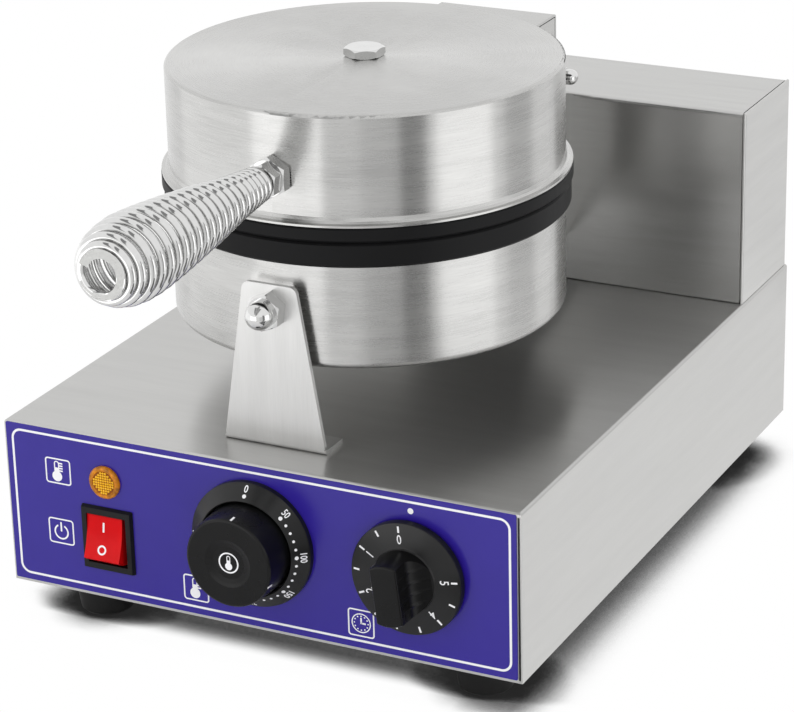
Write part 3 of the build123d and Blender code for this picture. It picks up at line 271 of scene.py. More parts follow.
def polished(name, tint, rough, grain=500, bump_strength=0.05, bump_distance=0.0001):
    """Bright metal with a fine uneven skin."""
    made, tree, shader = new_material(name)
    swirl = stretched_noise(tree, (grain, grain, grain), 4.0)
    dark = [c * 0.94 for c in tint]
    tree.links.new(ramp(tree, swirl, dark, tint), shader.inputs["Base Color"])
    tree.links.new(spread(tree, swirl, rough * 0.7, rough * 1.4), shader.inputs["Roughness"])
    shader.inputs["Metallic"].default_value = 1.0
    bump(tree, shader, swirl, bump_strength, bump_distance)
    return made


STEEL = (0.505, 0.503, 0.494)
BRIGHT_STEEL = (0.6, 0.598, 0.59)
FLAT_GRAIN, FLAT_BROAD = (70, 3200, 2400), (12, 160, 160)
casing_steel = steel("casing_steel", FLAT_GRAIN, FLAT_BROAD, STEEL, 0.31, 0.86, (1, 0, 0.02), 0.5)
housing_steel = steel("housing_steel", FLAT_GRAIN, FLAT_BROAD, STEEL, 0.24, 0.86, (1, 0, 0.02), 0.6)
side_steel = steel("side_steel", FLAT_GRAIN, FLAT_BROAD, STEEL, 0.3, 0.4, (0, 1, 0.02), 0.7)
bracket_steel = steel(
    "bracket_steel", (2400, 2400, 70), (160, 160, 12), BRIGHT_STEEL, 0.36, 0.4, (0.02, 0, 1), 0.6
)
drum_steel = steel(
    "drum_steel", (6.0, 2600, 1300), (1.6, 20, 160), STEEL, 0.27, 0.86, "round", 1.25
)
fastener_steel = polished("fastener_steel", (0.62, 0.62, 0.6), 0.22)
chrome = polished("chrome", (0.66, 0.66, 0.655), 0.07)
ground_end = polished("ground_end", (0.5, 0.5, 0.49), 0.42, 1100, 0.9, 0.0006)
plate_coating = plastic("plate_coating", (0.0055, 0.0055, 0.006), 0.5, 1800.0, 0.35, gloss=0.13)
knob_black = plastic("knob_black", (0.004, 0.004, 0.0042), 0.28, 3000.0, 0.1, gloss=0.19)
dial_black = plastic(
    "dial_black", (0.0045, 0.0045, 0.0048), 0.3, 2600.0, 0.2, gloss=0.36, turned=True
)
switch_black = plastic("switch_black", (0.0065, 0.0065, 0.007), 0.4, 2400.0, 0.2, gloss=0.2)
foot_rubber = plastic("foot_rubber", (0.008, 0.008, 0.008), 0.62, 1500.0, 0.3, gloss=0.25)
gland_black = plastic("gland_black", (0.015, 0.015, 0.015), 0.5, 1800.0, 0.2, gloss=0.3)
print_white = plastic("print_white", (0.88, 0.88, 0.9), 0.42, 4000.0, 0.05, 0.03)
rocker_red = plastic("rocker_red", (0.66, 0.0035, 0.006), 0.2, 900.0, 0.03, 0.08, gloss=0.08)
# The lamp's lens is one amber glass, drawn as three copies of it. The well between the prisms is
# darker and the prisms lighter than the rim: painted shade and painted light for light passing
# through the glass.
lens_rim = plastic("lens_rim", (0.5, 0.17, 0.003), 0.08, 700.0, 0.3, 0.5, gloss=0.3, patch=420)
lens_amber = plastic("lens_amber", (0.26, 0.07, 0.001), 0.2, 700.0, 0.04, 0.2, gloss=0.2)
lens_painted_light = plastic("lens_painted_light", (1.0, 0.5, 0.02), 0.14, 900.0, 0.04, 0.2, gloss=0.3)
insulation_fibre = plastic("insulation_fibre", (0.7, 0.68, 0.62), 0.9, 700.0, 0.7)
terminal_white = plastic("terminal_white", (0.72, 0.7, 0.64), 0.5, 1600.0, 0.1)
regulator_brown = plastic("regulator_brown", (0.2, 0.17, 0.13), 0.5, 1600.0, 0.2)
heater_steel = polished("heater_steel", (0.32, 0.28, 0.24), 0.4)
panel_print = plastic("panel_print", (0.024, 0.011, 0.27), 0.22, 1500.0, 0.05, 0.03, gloss=0.42)

slot_material = {
    "casing_steel": casing_steel,
    "housing_steel": housing_steel,
    "drum_steel": drum_steel,
    "bracket_steel": bracket_steel,
    "plate_coating": plate_coating,
    "chrome": chrome,
    "fastener_steel": fastener_steel,
    "panel_print": panel_print,
    "dial_black": dial_black,
    "knob_black": knob_black,
    "switch_black": switch_black,
    "rocker_red": rocker_red,
    "lens_amber": lens_amber,
    "foot_rubber": foot_rubber,
    "gland_black": gland_black,
    "heater_steel": heater_steel,
    "insulation": insulation_fibre,
    "terminal_white": terminal_white,
    "regulator": regulator_brown,
    "shaft_steel": fastener_steel,
}
node_material = {"rear_cover_left": side_steel, "rear_cover_right": side_steel}
for entry in frame["record"]["subparts"]:
    cad = frame["nodes"][entry["node"]]
    chosen = node_material.get(entry["node"], slot_material[entry["material_slot"]])
    cad.data.materials.clear()
    cad.data.materials.append(chosen)


# ------------------------------------------------------------------ mesh helpers
def make_piece(name, points, faces, material, body, slot, sharp=32.0):
    """A mesh piece from points in millimetres, shaded smooth except at sharp edges."""
    data = bpy.data.meshes.new(name)
    data.from_pydata([Vector(p) * MM for p in points], [], faces)
    shape = bmesh.new()
    shape.from_mesh(data)
    bmesh.ops.recalc_face_normals(shape, faces=shape.faces)
    for face in shape.faces:
        face.smooth = True
    limit = math.radians(sharp)
    for edge in shape.edges:
        if len(edge.link_faces) == 2 and edge.calc_face_angle(0.0) > limit:
            edge.smooth = False
    shape.to_mesh(data)
    shape.free()
    data.materials.append(material)
    made = bpy.data.objects.new(name, data)
    bpy.context.scene.collection.objects.link(made)
    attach(made, body)
    return made


def add(store, points, faces):
    """Adds points and faces to a (points, faces) store."""
    start = len(store[0])
    store[0].extend(points)
    store[1].extend([tuple(start + i for i in face) for face in faces])


def frame_at(centre, right, up):
    """Maps flat (u, v, w) to space: w stands off the surface along right x up."""
    centre, right, up = Vector(centre), Vector(right), Vector(up)
    out = right.cross(up)
    return lambda u, v, w=0.0: tuple(centre + right * u + up * v + out * w)


PRINT_T = 0.07


def add_loop_solid(store, place, loop, height=PRINT_T, base=-0.03):
    """A flat plate with a closed outline, standing off a surface."""
    n = len(loop)
    low = [place(u, v, base) for u, v in loop]
    high = [place(u, v, height) for u, v in loop]
    faces = [tuple(range(n)), tuple(range(2 * n - 1, n - 1, -1))]
    faces += [(i, (i + 1) % n, n + (i + 1) % n, n + i) for i in range(n)]
    add(store, low + high, faces)


def add_ring_solid(store, place, outer, inner, height=PRINT_T, base=-0.03):
    """A flat band between two outlines with the same number of points."""
    n = len(outer)
    points = [place(u, v, base) for u, v in outer + inner]
    points += [place(u, v, height) for u, v in outer + inner]
    faces = []
    for i in range(n):
        j = (i + 1) % n
        faces.append((i, j, n + j, n + i))
        faces.append((2 * n + i, 3 * n + i, 3 * n + j, 2 * n + j))
        faces.append((i, 2 * n + i, 2 * n + j, j))
        faces.append((n + i, n + j, 3 * n + j, 3 * n + i))
    add(store, points, faces)


def circle(radius, n=48, cu=0.0, cv=0.0):
    turn = 2 * math.pi / n
    return [(cu + radius * math.cos(i * turn), cv + radius * math.sin(i * turn)) for i in range(n)]


def round_rect(u0, u1, v0, v1, radius, n=8):
    corners = ((u1, v1, 0), (u0, v1, 90), (u0, v0, 180), (u1, v0, 270))
    loop = []
    for u, v, start in corners:
        cu = u - radius if u == u1 else u + radius
        cv = v - radius if v == v1 else v + radius
        for i in range(n + 1):
            angle = math.radians(start + 90 * i / n)
            loop.append((cu + radius * math.cos(angle), cv + radius * math.sin(angle)))
    return loop


def bar(u0, v0, u1, v1, width):
    """Outline of a straight stroke with square ends."""
    along = Vector((u1 - u0, v1 - v0)).normalized() * (width / 2)
    side = Vector((-along.y, along.x))
    return [
        (u0 - side.x, v0 - side.y),
        (u1 - side.x, v1 - side.y),
        (u1 + side.x, v1 + side.y),
        (u0 + side.x, v0 + side.y),
    ]


def capsule(u0, v0, u1, v1, width, n=8):
    """Outline of a straight stroke with round ends."""
    angle = math.atan2(v1 - v0, u1 - u0)
    loop = []
    for cu, cv, start in ((u1, v1, angle - math.pi / 2), (u0, v0, angle + math.pi / 2)):
        for i in range(n + 1):
            a = start + math.pi * i / n
            loop.append((cu + width / 2 * math.cos(a), cv + width / 2 * math.sin(a)))
    return loop


def add_text(store, place, words, size, weight=0.0, width=0.82):
    """Plain numerals, as a thin solid on a surface."""
    curve = bpy.data.curves.new("numeral", "FONT")
    curve.body = words
    curve.size = size
    curve.align_x = "CENTER"
    curve.align_y = "CENTER"
    curve.extrude = (PRINT_T + 0.03) / 2
    curve.offset = weight
    curve.resolution_u = 3
    holder = bpy.data.objects.new("numeral", curve)
    bpy.context.scene.collection.objects.link(holder)
    bpy.context.view_layer.update()
    flat = bpy.data.meshes.new_from_object(holder)
    middle_w = (PRINT_T - 0.03) / 2
    points = [place(v.co.x * width, v.co.y, middle_w + v.co.z) for v in flat.vertices]
    add(store, points, [tuple(p.vertices) for p in flat.polygons])
    bpy.data.objects.remove(holder)
    bpy.data.meshes.remove(flat)
    bpy.data.curves.remove(curve)


def lathe(outline, n, place):
    """Turns an outline of (radius, height) into a closed surface; place maps (x, y, height)."""
    points, faces = [], []
    rings = []
    for radius, height in outline:
        if radius < 1e-6:
            rings.append([len(points)])
            points.append(place(0, 0, height))
            continue
        rings.append(list(range(len(points), len(points) + n)))
        for i in range(n):
            a = 2 * math.pi * i / n
            points.append(place(radius * math.cos(a), radius * math.sin(a), height))
    for low, high in zip(rings, rings[1:]):
        for i in range(n):
            j = (i + 1) % n
            if len(low) == 1 and len(high) == 1:
                continue
            if len(low) == 1:
                faces.append((low[0], high[j], high[i]))
            elif len(high) == 1:
                faces.append((low[i], low[j], high[0]))
            else:
                faces.append((low[i], low[j], high[j], high[i]))
    return points, faces


NUT_FACE_SHARE = 0.985      # radius of a nut's flat face, as a share of half its width
NUT_CONE_SLOPE = 0.55       # how steeply its corners fall away outside that face


def hex_nut(place, flats, low, high, hole, chamfer_low, chamfer_high, n=96, turn=30.0):
    """Hexagon nut or head whose corners are turned down to a cone, as real ones are."""

    def across(a):
        near = (math.degrees(a) - turn) % 60 - 30
        return flats / 2 / math.cos(math.radians(near))

    angles = [2 * math.pi * i / n for i in range(n)]
    edge_r = flats / 2 * NUT_FACE_SHARE

    def drop(radius):
        return max(0.0, radius - edge_r) * NUT_CONE_SLOPE

    def end_rings(level, inward, chamfered):
        """Rings from the hole out to the corners at one end; inward is 1 where inside is up."""
        reaches = [lambda a: across(a)]
        if chamfered:
            reaches = [lambda a: edge_r, lambda a: (edge_r + across(a)) / 2, *reaches]
        made = [[(hole, level) for a in angles]]
        for reach in reaches:
            fall = inward if chamfered else 0
            made.append([(reach(a), level + fall * drop(reach(a))) for a in angles])
        return made

    rings = end_rings(low, 1, chamfer_low) + end_rings(high, -1, chamfer_high)[::-1]
    points = []
    for ring in rings:
        points += [
            place(r * math.cos(a), r * math.sin(a), h)
            for (r, h), a in zip(ring, angles)
        ]
    faces = []
    count = len(rings)
    for k in range(count):
        k2 = (k + 1) % count
        for i in range(n):
            j = (i + 1) % n
            faces.append((k * n + i, k * n + j, k2 * n + j, k2 * n + i))
    return points, faces


def loft(rings, cap_start=True, cap_end=True):
    """Joins rings with equal numbers of points, with flat ends."""
    n = len(rings[0])
    points = [p for ring in rings for p in ring]
    faces = []
    for k in range(len(rings) - 1):
        for i in range(n):
            j = (i + 1) % n
            faces.append((k * n + i, k * n + j, (k + 1) * n + j, (k + 1) * n + i))
    if cap_start:
        faces.append(tuple(range(n)))
    if cap_end:
        faces.append(tuple(range(len(points) - 1, len(points) - n - 1, -1)))
    return points, faces


front = frame_at((0, panel_y, 0), (1, 0, 0), (0, 0, 1))


def on_panel(x, z):
    return frame_at((x, panel_y, z), (1, 0, 0), (0, 0, 1))


# ------------------------------------------------------------------ printed panel
panel_print_store = ([], [])


def print_border():
    line, corner = 1.05, 5.0
    x0, x1 = panel_x0 + 2.8, panel_x1 - 2.4
    z0, z1 = panel_z0 + 2.9, panel_z1 - 2.4
    outer = round_rect(x0, x1, z0, z1, corner)
    inner = round_rect(x0 + line, x1 - line, z0 + line, z1 - line, corner - line)
    add_ring_solid(panel_print_store, front, outer, inner)


def print_icon_box(x, z, width, height):
    """An empty icon frame on the panel; returns the place for what it holds."""
    place, line = on_panel(x, z), 0.65
    u, v = width / 2, height / 2
    outer = round_rect(-u, u, -v, v, 1.5)
    inner = round_rect(-u + line, u - line, -v + line, v - line, 0.9)
    add_ring_solid(panel_print_store, place, outer, inner)
    return place


def print_thermometer(store, place, scale, marks=4):
    """A thermometer: a bulb, a stem drawn in outline, its column and its marks."""
    middle_u, low = -0.6 * scale * (marks > 0), -2.4 * scale
    stem, line, top = 1.3 * scale, 0.5 * scale, 4.9 * scale
    add_loop_solid(store, place, circle(2.5 * scale, 32, middle_u, low), 0.1)
    u0, u1 = middle_u - stem, middle_u + stem
    outer = round_rect(u0, u1, low + 1.4 * scale, top, stem * 0.96)
    inner = round_rect(u0 + line, u1 - line, low + 1.8 * scale, top - line, (stem - line) * 0.96)
    add_ring_solid(store, place, outer, inner, 0.085)
    column = stem - line * 0.9
    add_loop_solid(store, place, bar(middle_u, low + 0.8, middle_u, 1.7 * scale, 2 * column), 0.07)
    for i in range(marks):
        v = 0.3 * scale + i * 1.2 * scale
        add_loop_solid(store, place, bar(u1 - 0.1, v, u1 + 1.7 * scale, v, 0.68 * scale), 0.07)


def print_power(place):
    points_out, points_in = [], []
    gap = math.radians(28)
    n = 40
    for i in range(n + 1):
        a = math.pi / 2 + gap + (2 * math.pi - 2 * gap) * i / n
        points_out.append((3.7 * math.cos(a), 3.7 * math.sin(a) - 0.3))
        points_in.append((2.95 * math.cos(a), 2.95 * math.sin(a) - 0.3))
    add_loop_solid(panel_print_store, place, points_out + points_in[::-1])
    add_loop_solid(panel_print_store, place, capsule(0, 0.2, 0, 4.1, 0.8))


def print_clock(place):
    outer, inner = circle(4.6), circle(4.1)
    add_ring_solid(panel_print_store, place, outer, inner)
    for i in range(12):
        a = math.radians(30 * i)
        add_loop_solid(
            panel_print_store, place, circle(0.34, 12, 3.3 * math.sin(a), 3.3 * math.cos(a))
        )
    add_loop_solid(panel_print_store, place, bar(0, -0.45, 0, 2.6, 0.75))
    add_loop_solid(panel_print_store, place, bar(0, -0.1, 2.2, -0.1, 0.75))


print_border()
print_thermometer(panel_print_store, print_icon_box(-98.2, 77.6, 13.0, 12.3), 1.0)
print_power(print_icon_box(-98.6, 48.4, 13.0, 12.3))
print_thermometer(panel_print_store, print_icon_box(-30.6, 33.8, 12.6, 12.3), 1.0)
print_clock(print_icon_box(50.1, 33.3, 12.6, 12.9))
add_loop_solid(panel_print_store, front, circle(1.35, 24, 74.8, 90.3))
make_piece("panel_lines", *panel_print_store, print_white, "base", "panel_print")

# ------------------------------------------------------------------ thermostat print
SCALE_EDGE_R, SCALE_EDGE_H = 28.5, 3.1
SCALE_IN_R, SCALE_IN_H = 22.4, 8.0
SCALE_DOT_R, SCALE_NUMERAL_R = 24.3, 26.6


def on_scale(angle, radius):
    """Frame on the sloping scale face, clockwise angle from the top; v points outward."""
    a = math.radians(angle)
    outward = Vector((math.sin(a), 0, math.cos(a)))
    across = Vector((math.cos(a), 0, -math.sin(a)))
    slope = (SCALE_IN_H - SCALE_EDGE_H) / (SCALE_EDGE_R - SCALE_IN_R)
    height = SCALE_EDGE_H + (SCALE_EDGE_R - radius) * slope
    centre = Vector((thermostat_x, panel_y - height, dial_z)) + outward * radius
    up = (outward + Vector((0, slope, 0))).normalized()
    return frame_at(centre, across, up)


scale_print = ([], [])
add_loop_solid(scale_print, on_scale(0, SCALE_DOT_R), circle(0.9, 20))
add_text(scale_print, on_scale(0, 26.8), "0", 4.7, 0.05)
for i in range(26):
    angle = 45 + 9 * i
    dot = circle(0.88 if i % 5 == 0 else 0.62, 16)
    add_loop_solid(scale_print, on_scale(angle, SCALE_DOT_R), dot)
    if i % 5 == 0:
        numeral = str(50 + 10 * i)
        add_text(scale_print, on_scale(angle, SCALE_NUMERAL_R), numeral, 4.3, 0.06, 0.78)
make_piece("scale_marks", *scale_print, print_white, "base", "dial_black")

knob_front_h = panel_y - span("thermostat_knob", 1)[0]
knob_print = ([], [])
face = frame_at((thermostat_x, panel_y - knob_front_h + 1.0, dial_z), (1, 0, 0), (0, 0, 1))
add_ring_solid(knob_print, face, circle(4.8, 64), circle(4.15, 64))
print_thermometer(knob_print, face, 0.68, 0)


KNOB_TAPER = 1.2 / 21.7     # how fast the knob's side widens towards the panel
KNOB_FRONT_R = 20.24


def side_tick(angle, depth0, depth1, width):
    """A tick on the knob's side, from one depth behind its front to another."""
    a = math.radians(angle)
    outward = Vector((math.sin(a), 0, math.cos(a)))
    across = Vector((math.cos(a), 0, -math.sin(a)))
    along = Vector((0, 1, 0)) + outward * KNOB_TAPER
    start = Vector((thermostat_x, panel_y - knob_front_h, dial_z)) + outward * KNOB_FRONT_R
    place = frame_at(start, -across, along.normalized())
    add_loop_solid(knob_print, place, bar(0, depth0, 0, depth1, width), 0.1, -0.15)


side_tick(6, 0.9, 3.9, 0.95)
side_tick(113, 0.9, 3.9, 0.95)
make_piece("knob_marks", *knob_print, print_white, "thermostat_dial", "knob_black")

# ------------------------------------------------------------------ timer knob
GRIP_LEAN = 7.0
grip_turn = Matrix.Rotation(math.radians(-GRIP_LEAN), 3, "Y")
SKIRT_R, SKIRT_BACK, SKIRT_EDGE, SKIRT_TOP = 25.6, 0.8, 4.9, 5.8
GRIP_R0, GRIP_R1, GRIP_TOP, GRIP_HALF = 14.2, 13.8, 23.6, 6.1
TIMER_BORE_R = 3.05
TIMER_TICK_R, TIMER_NUMERAL_R = 22.8, 18.2


def on_timer(x, y, h):
    turned = grip_turn @ Vector((x, 0, y))
    return (timer_x + turned.x, panel_y - h, timer_z + turned.z)


skirt_outline = [
    (TIMER_BORE_R, SKIRT_BACK),
    (SKIRT_R - 0.5, SKIRT_BACK),
    (SKIRT_R, SKIRT_BACK + 0.5),
    (SKIRT_R, SKIRT_EDGE - 0.7),
    (SKIRT_R - 0.2, SKIRT_EDGE - 0.2),
    (SKIRT_R - 0.7, SKIRT_EDGE + 0.05),
    (GRIP_R0 + 1.2, SKIRT_TOP),
    (GRIP_R0 + 0.4, SKIRT_TOP + 0.2),
    (GRIP_R0, SKIRT_TOP + 0.9),
    (TIMER_BORE_R, SKIRT_TOP + 0.9),
    (TIMER_BORE_R, SKIRT_BACK),
]
skirt = make_piece(
    "timer_skirt",
    *lathe(skirt_outline, 128, on_timer),
    dial_black,
    "timer_dial",
    "dial_black",
)
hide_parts("timer_knob")

RIBS, RIB_PROUD, RIB_WIDTH = (-7.6, -2.6, 2.4, 7.4), 0.34, 0.42


def rib(v):
    """How far a scooped side stands proud at v, because of its ribs."""
    return RIB_PROUD * max(math.exp(-(((v - place) / RIB_WIDTH) ** 2)) for place in RIBS)


def grip_slice(h, inset=0.0):
    """Outline of the grip at a height: a round bar end, and two scooped sides with thin ribs."""
    share = min(1.0, max(0.0, (h - SKIRT_TOP) / (GRIP_TOP - SKIRT_TOP)))
    radius = GRIP_R0 + (GRIP_R1 - GRIP_R0) * share - inset
    rise = min(1.0, share / 0.62)
    half = GRIP_HALF + (GRIP_R0 - GRIP_HALF) * (1 - math.sin(rise * math.pi / 2)) ** 1.2 - inset
    half = min(half, radius * 0.995)
    proud = math.sin(math.pi * min(1.0, share / 0.9)) if share < 0.9 else 0.0
    reach = math.sqrt(radius**2 - half**2)
    steps = 84
    side = [-reach + 2 * reach * i / steps for i in range(steps + 1)]
    loop = [(half + proud * rib(v) * (abs(v) < reach - 1), v) for v in side]
    arc = math.acos(min(1.0, half / radius))
    ends = [arc + (math.pi - 2 * arc) * i / 16 for i in range(1, 16)]
    loop += [(radius * math.cos(a), radius * math.sin(a)) for a in ends]
    return loop + [(-u, -v) for u, v in loop]


slices = []
GRIP_ROUND = 0.8
for i in range(35):
    h = SKIRT_TOP + 0.3 + i * 0.5
    if h < GRIP_TOP - GRIP_ROUND - 0.1:
        slices.append([on_timer(u, v, h) for u, v in grip_slice(h)])
for i in range(6):
    a = math.radians(90 * i / 5)
    h = GRIP_TOP - GRIP_ROUND + GRIP_ROUND * math.sin(a)
    outline = grip_slice(h, GRIP_ROUND * (1 - math.cos(a)))
    slices.append([on_timer(u, v, h) for u, v in outline])
make_piece("timer_grip", *loft(slices), knob_black, "timer_dial", "knob_black", 40)


def on_skirt(angle, radius):
    """Frame on the skirt's face, counter-clockwise angle from the zero mark."""
    a = math.radians(GRIP_LEAN + angle)
    outward = Vector((-math.sin(a), 0, math.cos(a)))
    across = Vector((math.cos(a), 0, math.sin(a)))
    slope = (SKIRT_TOP - SKIRT_EDGE - 0.05) / (SKIRT_R - 0.7 - GRIP_R0 - 1.2)
    height = SKIRT_EDGE + 0.05 + (SKIRT_R - 0.7 - radius) * slope
    centre = Vector((timer_x, panel_y - height, timer_z)) + outward * radius
    return frame_at(centre, across, (outward + Vector((0, slope, 0))).normalized())


timer_print = ([], [])
for i in range(11):
    angle = 27 * i
    add_loop_solid(timer_print, on_skirt(angle, TIMER_TICK_R), bar(0, -1.4, 0, 1.4, 0.85))
    if i % 2 == 0:
        place = on_skirt(angle, TIMER_NUMERAL_R)
        add_text(timer_print, place, str(i // 2), 5.7, 0.05, 0.8)
make_piece("timer_marks", *timer_print, print_white, "timer_dial", "dial_black")

# ------------------------------------------------------------------ rocker switch
pivot_y, pivot_z, tilt = panel_y + 2.4, switch_z, math.radians(14)
ROCKER_HALF_W, ROCKER_END_R, ROCKER_REACH, ROCKER_DIP = 8.9, 11.5, 9.9, 1.1
ROCKER_LEFT, ROCKER_CHAMFER, CHAMFER_STEPS = 1.1, 0.7, 5
rocker_front = math.sqrt(ROCKER_END_R**2 - ROCKER_REACH**2)


def rocker_place(x, forward, up):
    """x is measured from the middle of the paddle, which stands left of its opening's middle."""
    y = pivot_y - forward * math.cos(tilt) + up * math.sin(tilt)
    z = pivot_z + up * math.cos(tilt) + forward * math.sin(tilt)
    return (lamp_x - ROCKER_LEFT + x, y, z)


def rocker_dish(up):
    """How far the front face stands off the pivot, hollow in the middle."""
    return rocker_front - ROCKER_DIP * (1 - (up / ROCKER_REACH) ** 2)


def rocker_outline(inset):
    """Side outline of the rocker, drawn in by inset on its front edges."""
    points = []
    for i in range(25):
        up = -ROCKER_REACH + inset + (2 * ROCKER_REACH - 2 * inset) * i / 24
        points.append((rocker_dish(up) - inset, up))
    start = math.atan2(ROCKER_REACH, rocker_front)
    end = math.atan2(11.1, -3.0)
    radius = ROCKER_END_R - inset
    for i in range(1, 11):
        a = start + (end - start) * i / 10
        points.append((radius * math.cos(a), radius * math.sin(a)))
    for i in range(10, 0, -1):
        a = start + (end - start) * i / 10
        points.append((radius * math.cos(a), -radius * math.sin(a)))
    return points


def rocker_ring(side, step):
    """Outline at one step of the chamfer on the left, -1, or right, 1, side."""
    inset = ROCKER_CHAMFER * (1 - math.sin(math.radians(90 * step / CHAMFER_STEPS)))
    x = side * (ROCKER_HALF_W - inset)
    return [rocker_place(x, f, u) for f, u in rocker_outline(inset)]


steps = range(CHAMFER_STEPS + 1)
rocker_rings = [rocker_ring(-1, i) for i in steps] + [rocker_ring(1, i) for i in steps[::-1]]
rocker = make_piece("rocker", *loft(rocker_rings), rocker_red, "rocker", "rocker_red")
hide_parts("switch_rocker")

legend = ([], [])


def on_rocker(up):
    centre = Vector(rocker_place(-0.5, rocker_dish(up), up))
    ahead = Vector(rocker_place(-0.5, rocker_dish(up + 0.5), up + 0.5))
    return frame_at(centre, (1, 0, 0), (ahead - centre).normalized())


add_loop_solid(legend, on_rocker(4.7), bar(0, -2.25, 0, 2.25, 0.9))
add_ring_solid(legend, on_rocker(-5.5), circle(2.2, 40), circle(1.4, 40))
make_piece("rocker_marks", *legend, print_white, "rocker", "rocker_red")

# ------------------------------------------------------------------ pilot lamp
lamp_place = on_panel(lamp_x, lamp_z)
LENS_R, LENS_ROUND = 7.7, 1.2
lens_outline = [(0, -0.5), (4.4, -0.5), (4.4, 0.0), (LENS_R - 0.15, 0.0), (LENS_R, 0.25)]
for i in range(9):
    a = math.radians(90 * i / 8)
    edge = LENS_R - LENS_ROUND + LENS_ROUND * math.cos(a)
    lens_outline.append((edge, 0.7 + 1.3 * math.sin(a)))
lens_outline += [(5.75, 2.0), (5.55, 1.8), (5.5, 1.55), (5.35, 1.5), (0, 1.5)]
lens = make_piece(
    "lamp_glass", *lathe(lens_outline, 72, lamp_place), lens_rim, "base", "lens_amber"
)
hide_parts("lamp_lens")
# The well shows between the prisms in a darker amber: painted shade.
well_outline = [(0, 1.3), (5.45, 1.3), (5.45, 1.56), (0, 1.56)]
make_piece("lamp_well", *lathe(well_outline, 48, lamp_place), lens_amber, "base", "lens_amber")
# The prisms are a brighter amber than the rim: painted light shining through the glass.
studs = ([], [])
STUD_PITCH, STUD_FIELD_R = 1.18, 4.9
STUD = [(0, 1.45), (0.53, 1.45), (0.53, 1.8), (0.42, 2.04), (0.22, 2.16), (0, 2.2)]
for i in range(-5, 6):
    for j in range(-5, 6):
        u, v = i * STUD_PITCH, j * STUD_PITCH
        if math.hypot(u, v) > STUD_FIELD_R:
            continue
        shifted = frame_at(lamp_place(u, v, 0), (1, 0, 0), (0, 0, 1))
        add(studs, *lathe(STUD, 10, shifted))
make_piece("lamp_prisms", *studs, lens_painted_light, "base", "lens_amber", 60)

# ------------------------------------------------------------------ handle
handle_x = middle("handle_stud", 0)
handle_z = span("upper_shell", 2)[0] + 20.3
drum_front_y = drum_y - drum_r
LIFT = math.radians(1.25)
JAM_NUT_T, COIL_NUT_T = 5.95, 6.4
COIL_BACK = JAM_NUT_T + COIL_NUT_T
LENGTH = (drum_front_y - span("handle_spring", 1)[0]) / math.cos(LIFT) - COIL_BACK - 0.38
WIRE_R = 2.0
OPEN_PITCH, TIGHT_PITCH = 6.3, 4.05
PROFILE = (
    (0.0, 9.9),
    (4.8, 14.7),
    (11.8, 17.3),
    (21.8, 18.3),
    (31.8, 17.8),
    (42.8, 16.9),
    (56.8, 15.5),
    (71.8, 13.8),
    (102.8, 9.7),
    (LENGTH - 4, 8.0),
    (LENGTH, 7.8),
)


def on_handle(u, v, h):
    """Place beside the handle's axis, at a height h in front of the drum along it."""
    y = -h * math.cos(LIFT) + v * math.sin(LIFT)
    z = h * math.sin(LIFT) + v * math.cos(LIFT)
    return (handle_x + u, drum_front_y + y, handle_z + z)


def smooth(x):
    x = min(1.0, max(0.0, x))
    return x * x * (3 - 2 * x)


def straight_radius(s):
    for (s0, r0), (s1, r1) in zip(PROFILE, PROFILE[1:]):
        if s <= s1:
            return r0 + (r1 - r0) * max(0.0, s - s0) / (s1 - s0)
    return PROFILE[-1][1]


def coil_radius(s):
    """Outside radius of the coil at a distance from its tip, eased between the named places."""
    return sum(straight_radius(s + d) for d in (-1.6, -0.8, 0.0, 0.8, 1.6)) / 5


def helix():
    """Centre line of the wire, from its ground end at the tip back to the nut, with its axis."""
    steps = 44
    turns, s = 0.0, -1.1
    line = []
    while s < LENGTH - WIRE_R:
        a = math.radians(162 - 360 * turns)
        radius = coil_radius(s) - WIRE_R
        line.append((radius * math.cos(a), radius * math.sin(a), COIL_BACK + LENGTH - s))
        slope = coil_radius(s + 0.2) - coil_radius(s - 0.2)
        pitch = TIGHT_PITCH + (OPEN_PITCH - TIGHT_PITCH) * smooth((turns - 1.2) / 3.2)
        pitch += (TIGHT_PITCH - OPEN_PITCH) * smooth((s - LENGTH + 25) / 6)
        s += pitch / steps / math.hypot(1.0, slope / 0.4)
        turns += 1 / steps
    return line


def wire(line, radius, sides, tip):
    """A round wire along a line of (u, v, height) about the handle, ground flat at the tip."""
    rings = []
    for i, point in enumerate(line):
        here = Vector(point)
        ahead = Vector(line[min(i + 1, len(line) - 1)]) - Vector(line[max(i - 1, 0)])
        ahead.normalize()
        outward = Vector((here.x, here.y, 0))
        outward = (outward - ahead * outward.dot(ahead)).normalized()
        side = ahead.cross(outward)
        ring = []
        for k in range(sides):
            a = 2 * math.pi * k / sides
            place = here + outward * (radius * math.cos(a)) + side * (radius * math.sin(a))
            ring.append(on_handle(place.x, place.y, min(place.z, tip)))
        rings.append(ring)
    return loft(rings)


coil = make_piece(
    "handle_coil", *wire(helix(), WIRE_R, 20, COIL_BACK + LENGTH), chrome, "lid", "chrome", 45
)
coil.data.materials.append(ground_end)
tip_way = Vector(on_handle(0, 0, 1)) - Vector(on_handle(0, 0, 0))
for face in coil.data.polygons:
    if face.normal.dot(tip_way) > 0.999:
        face.material_index = 1
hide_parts("handle_spring")

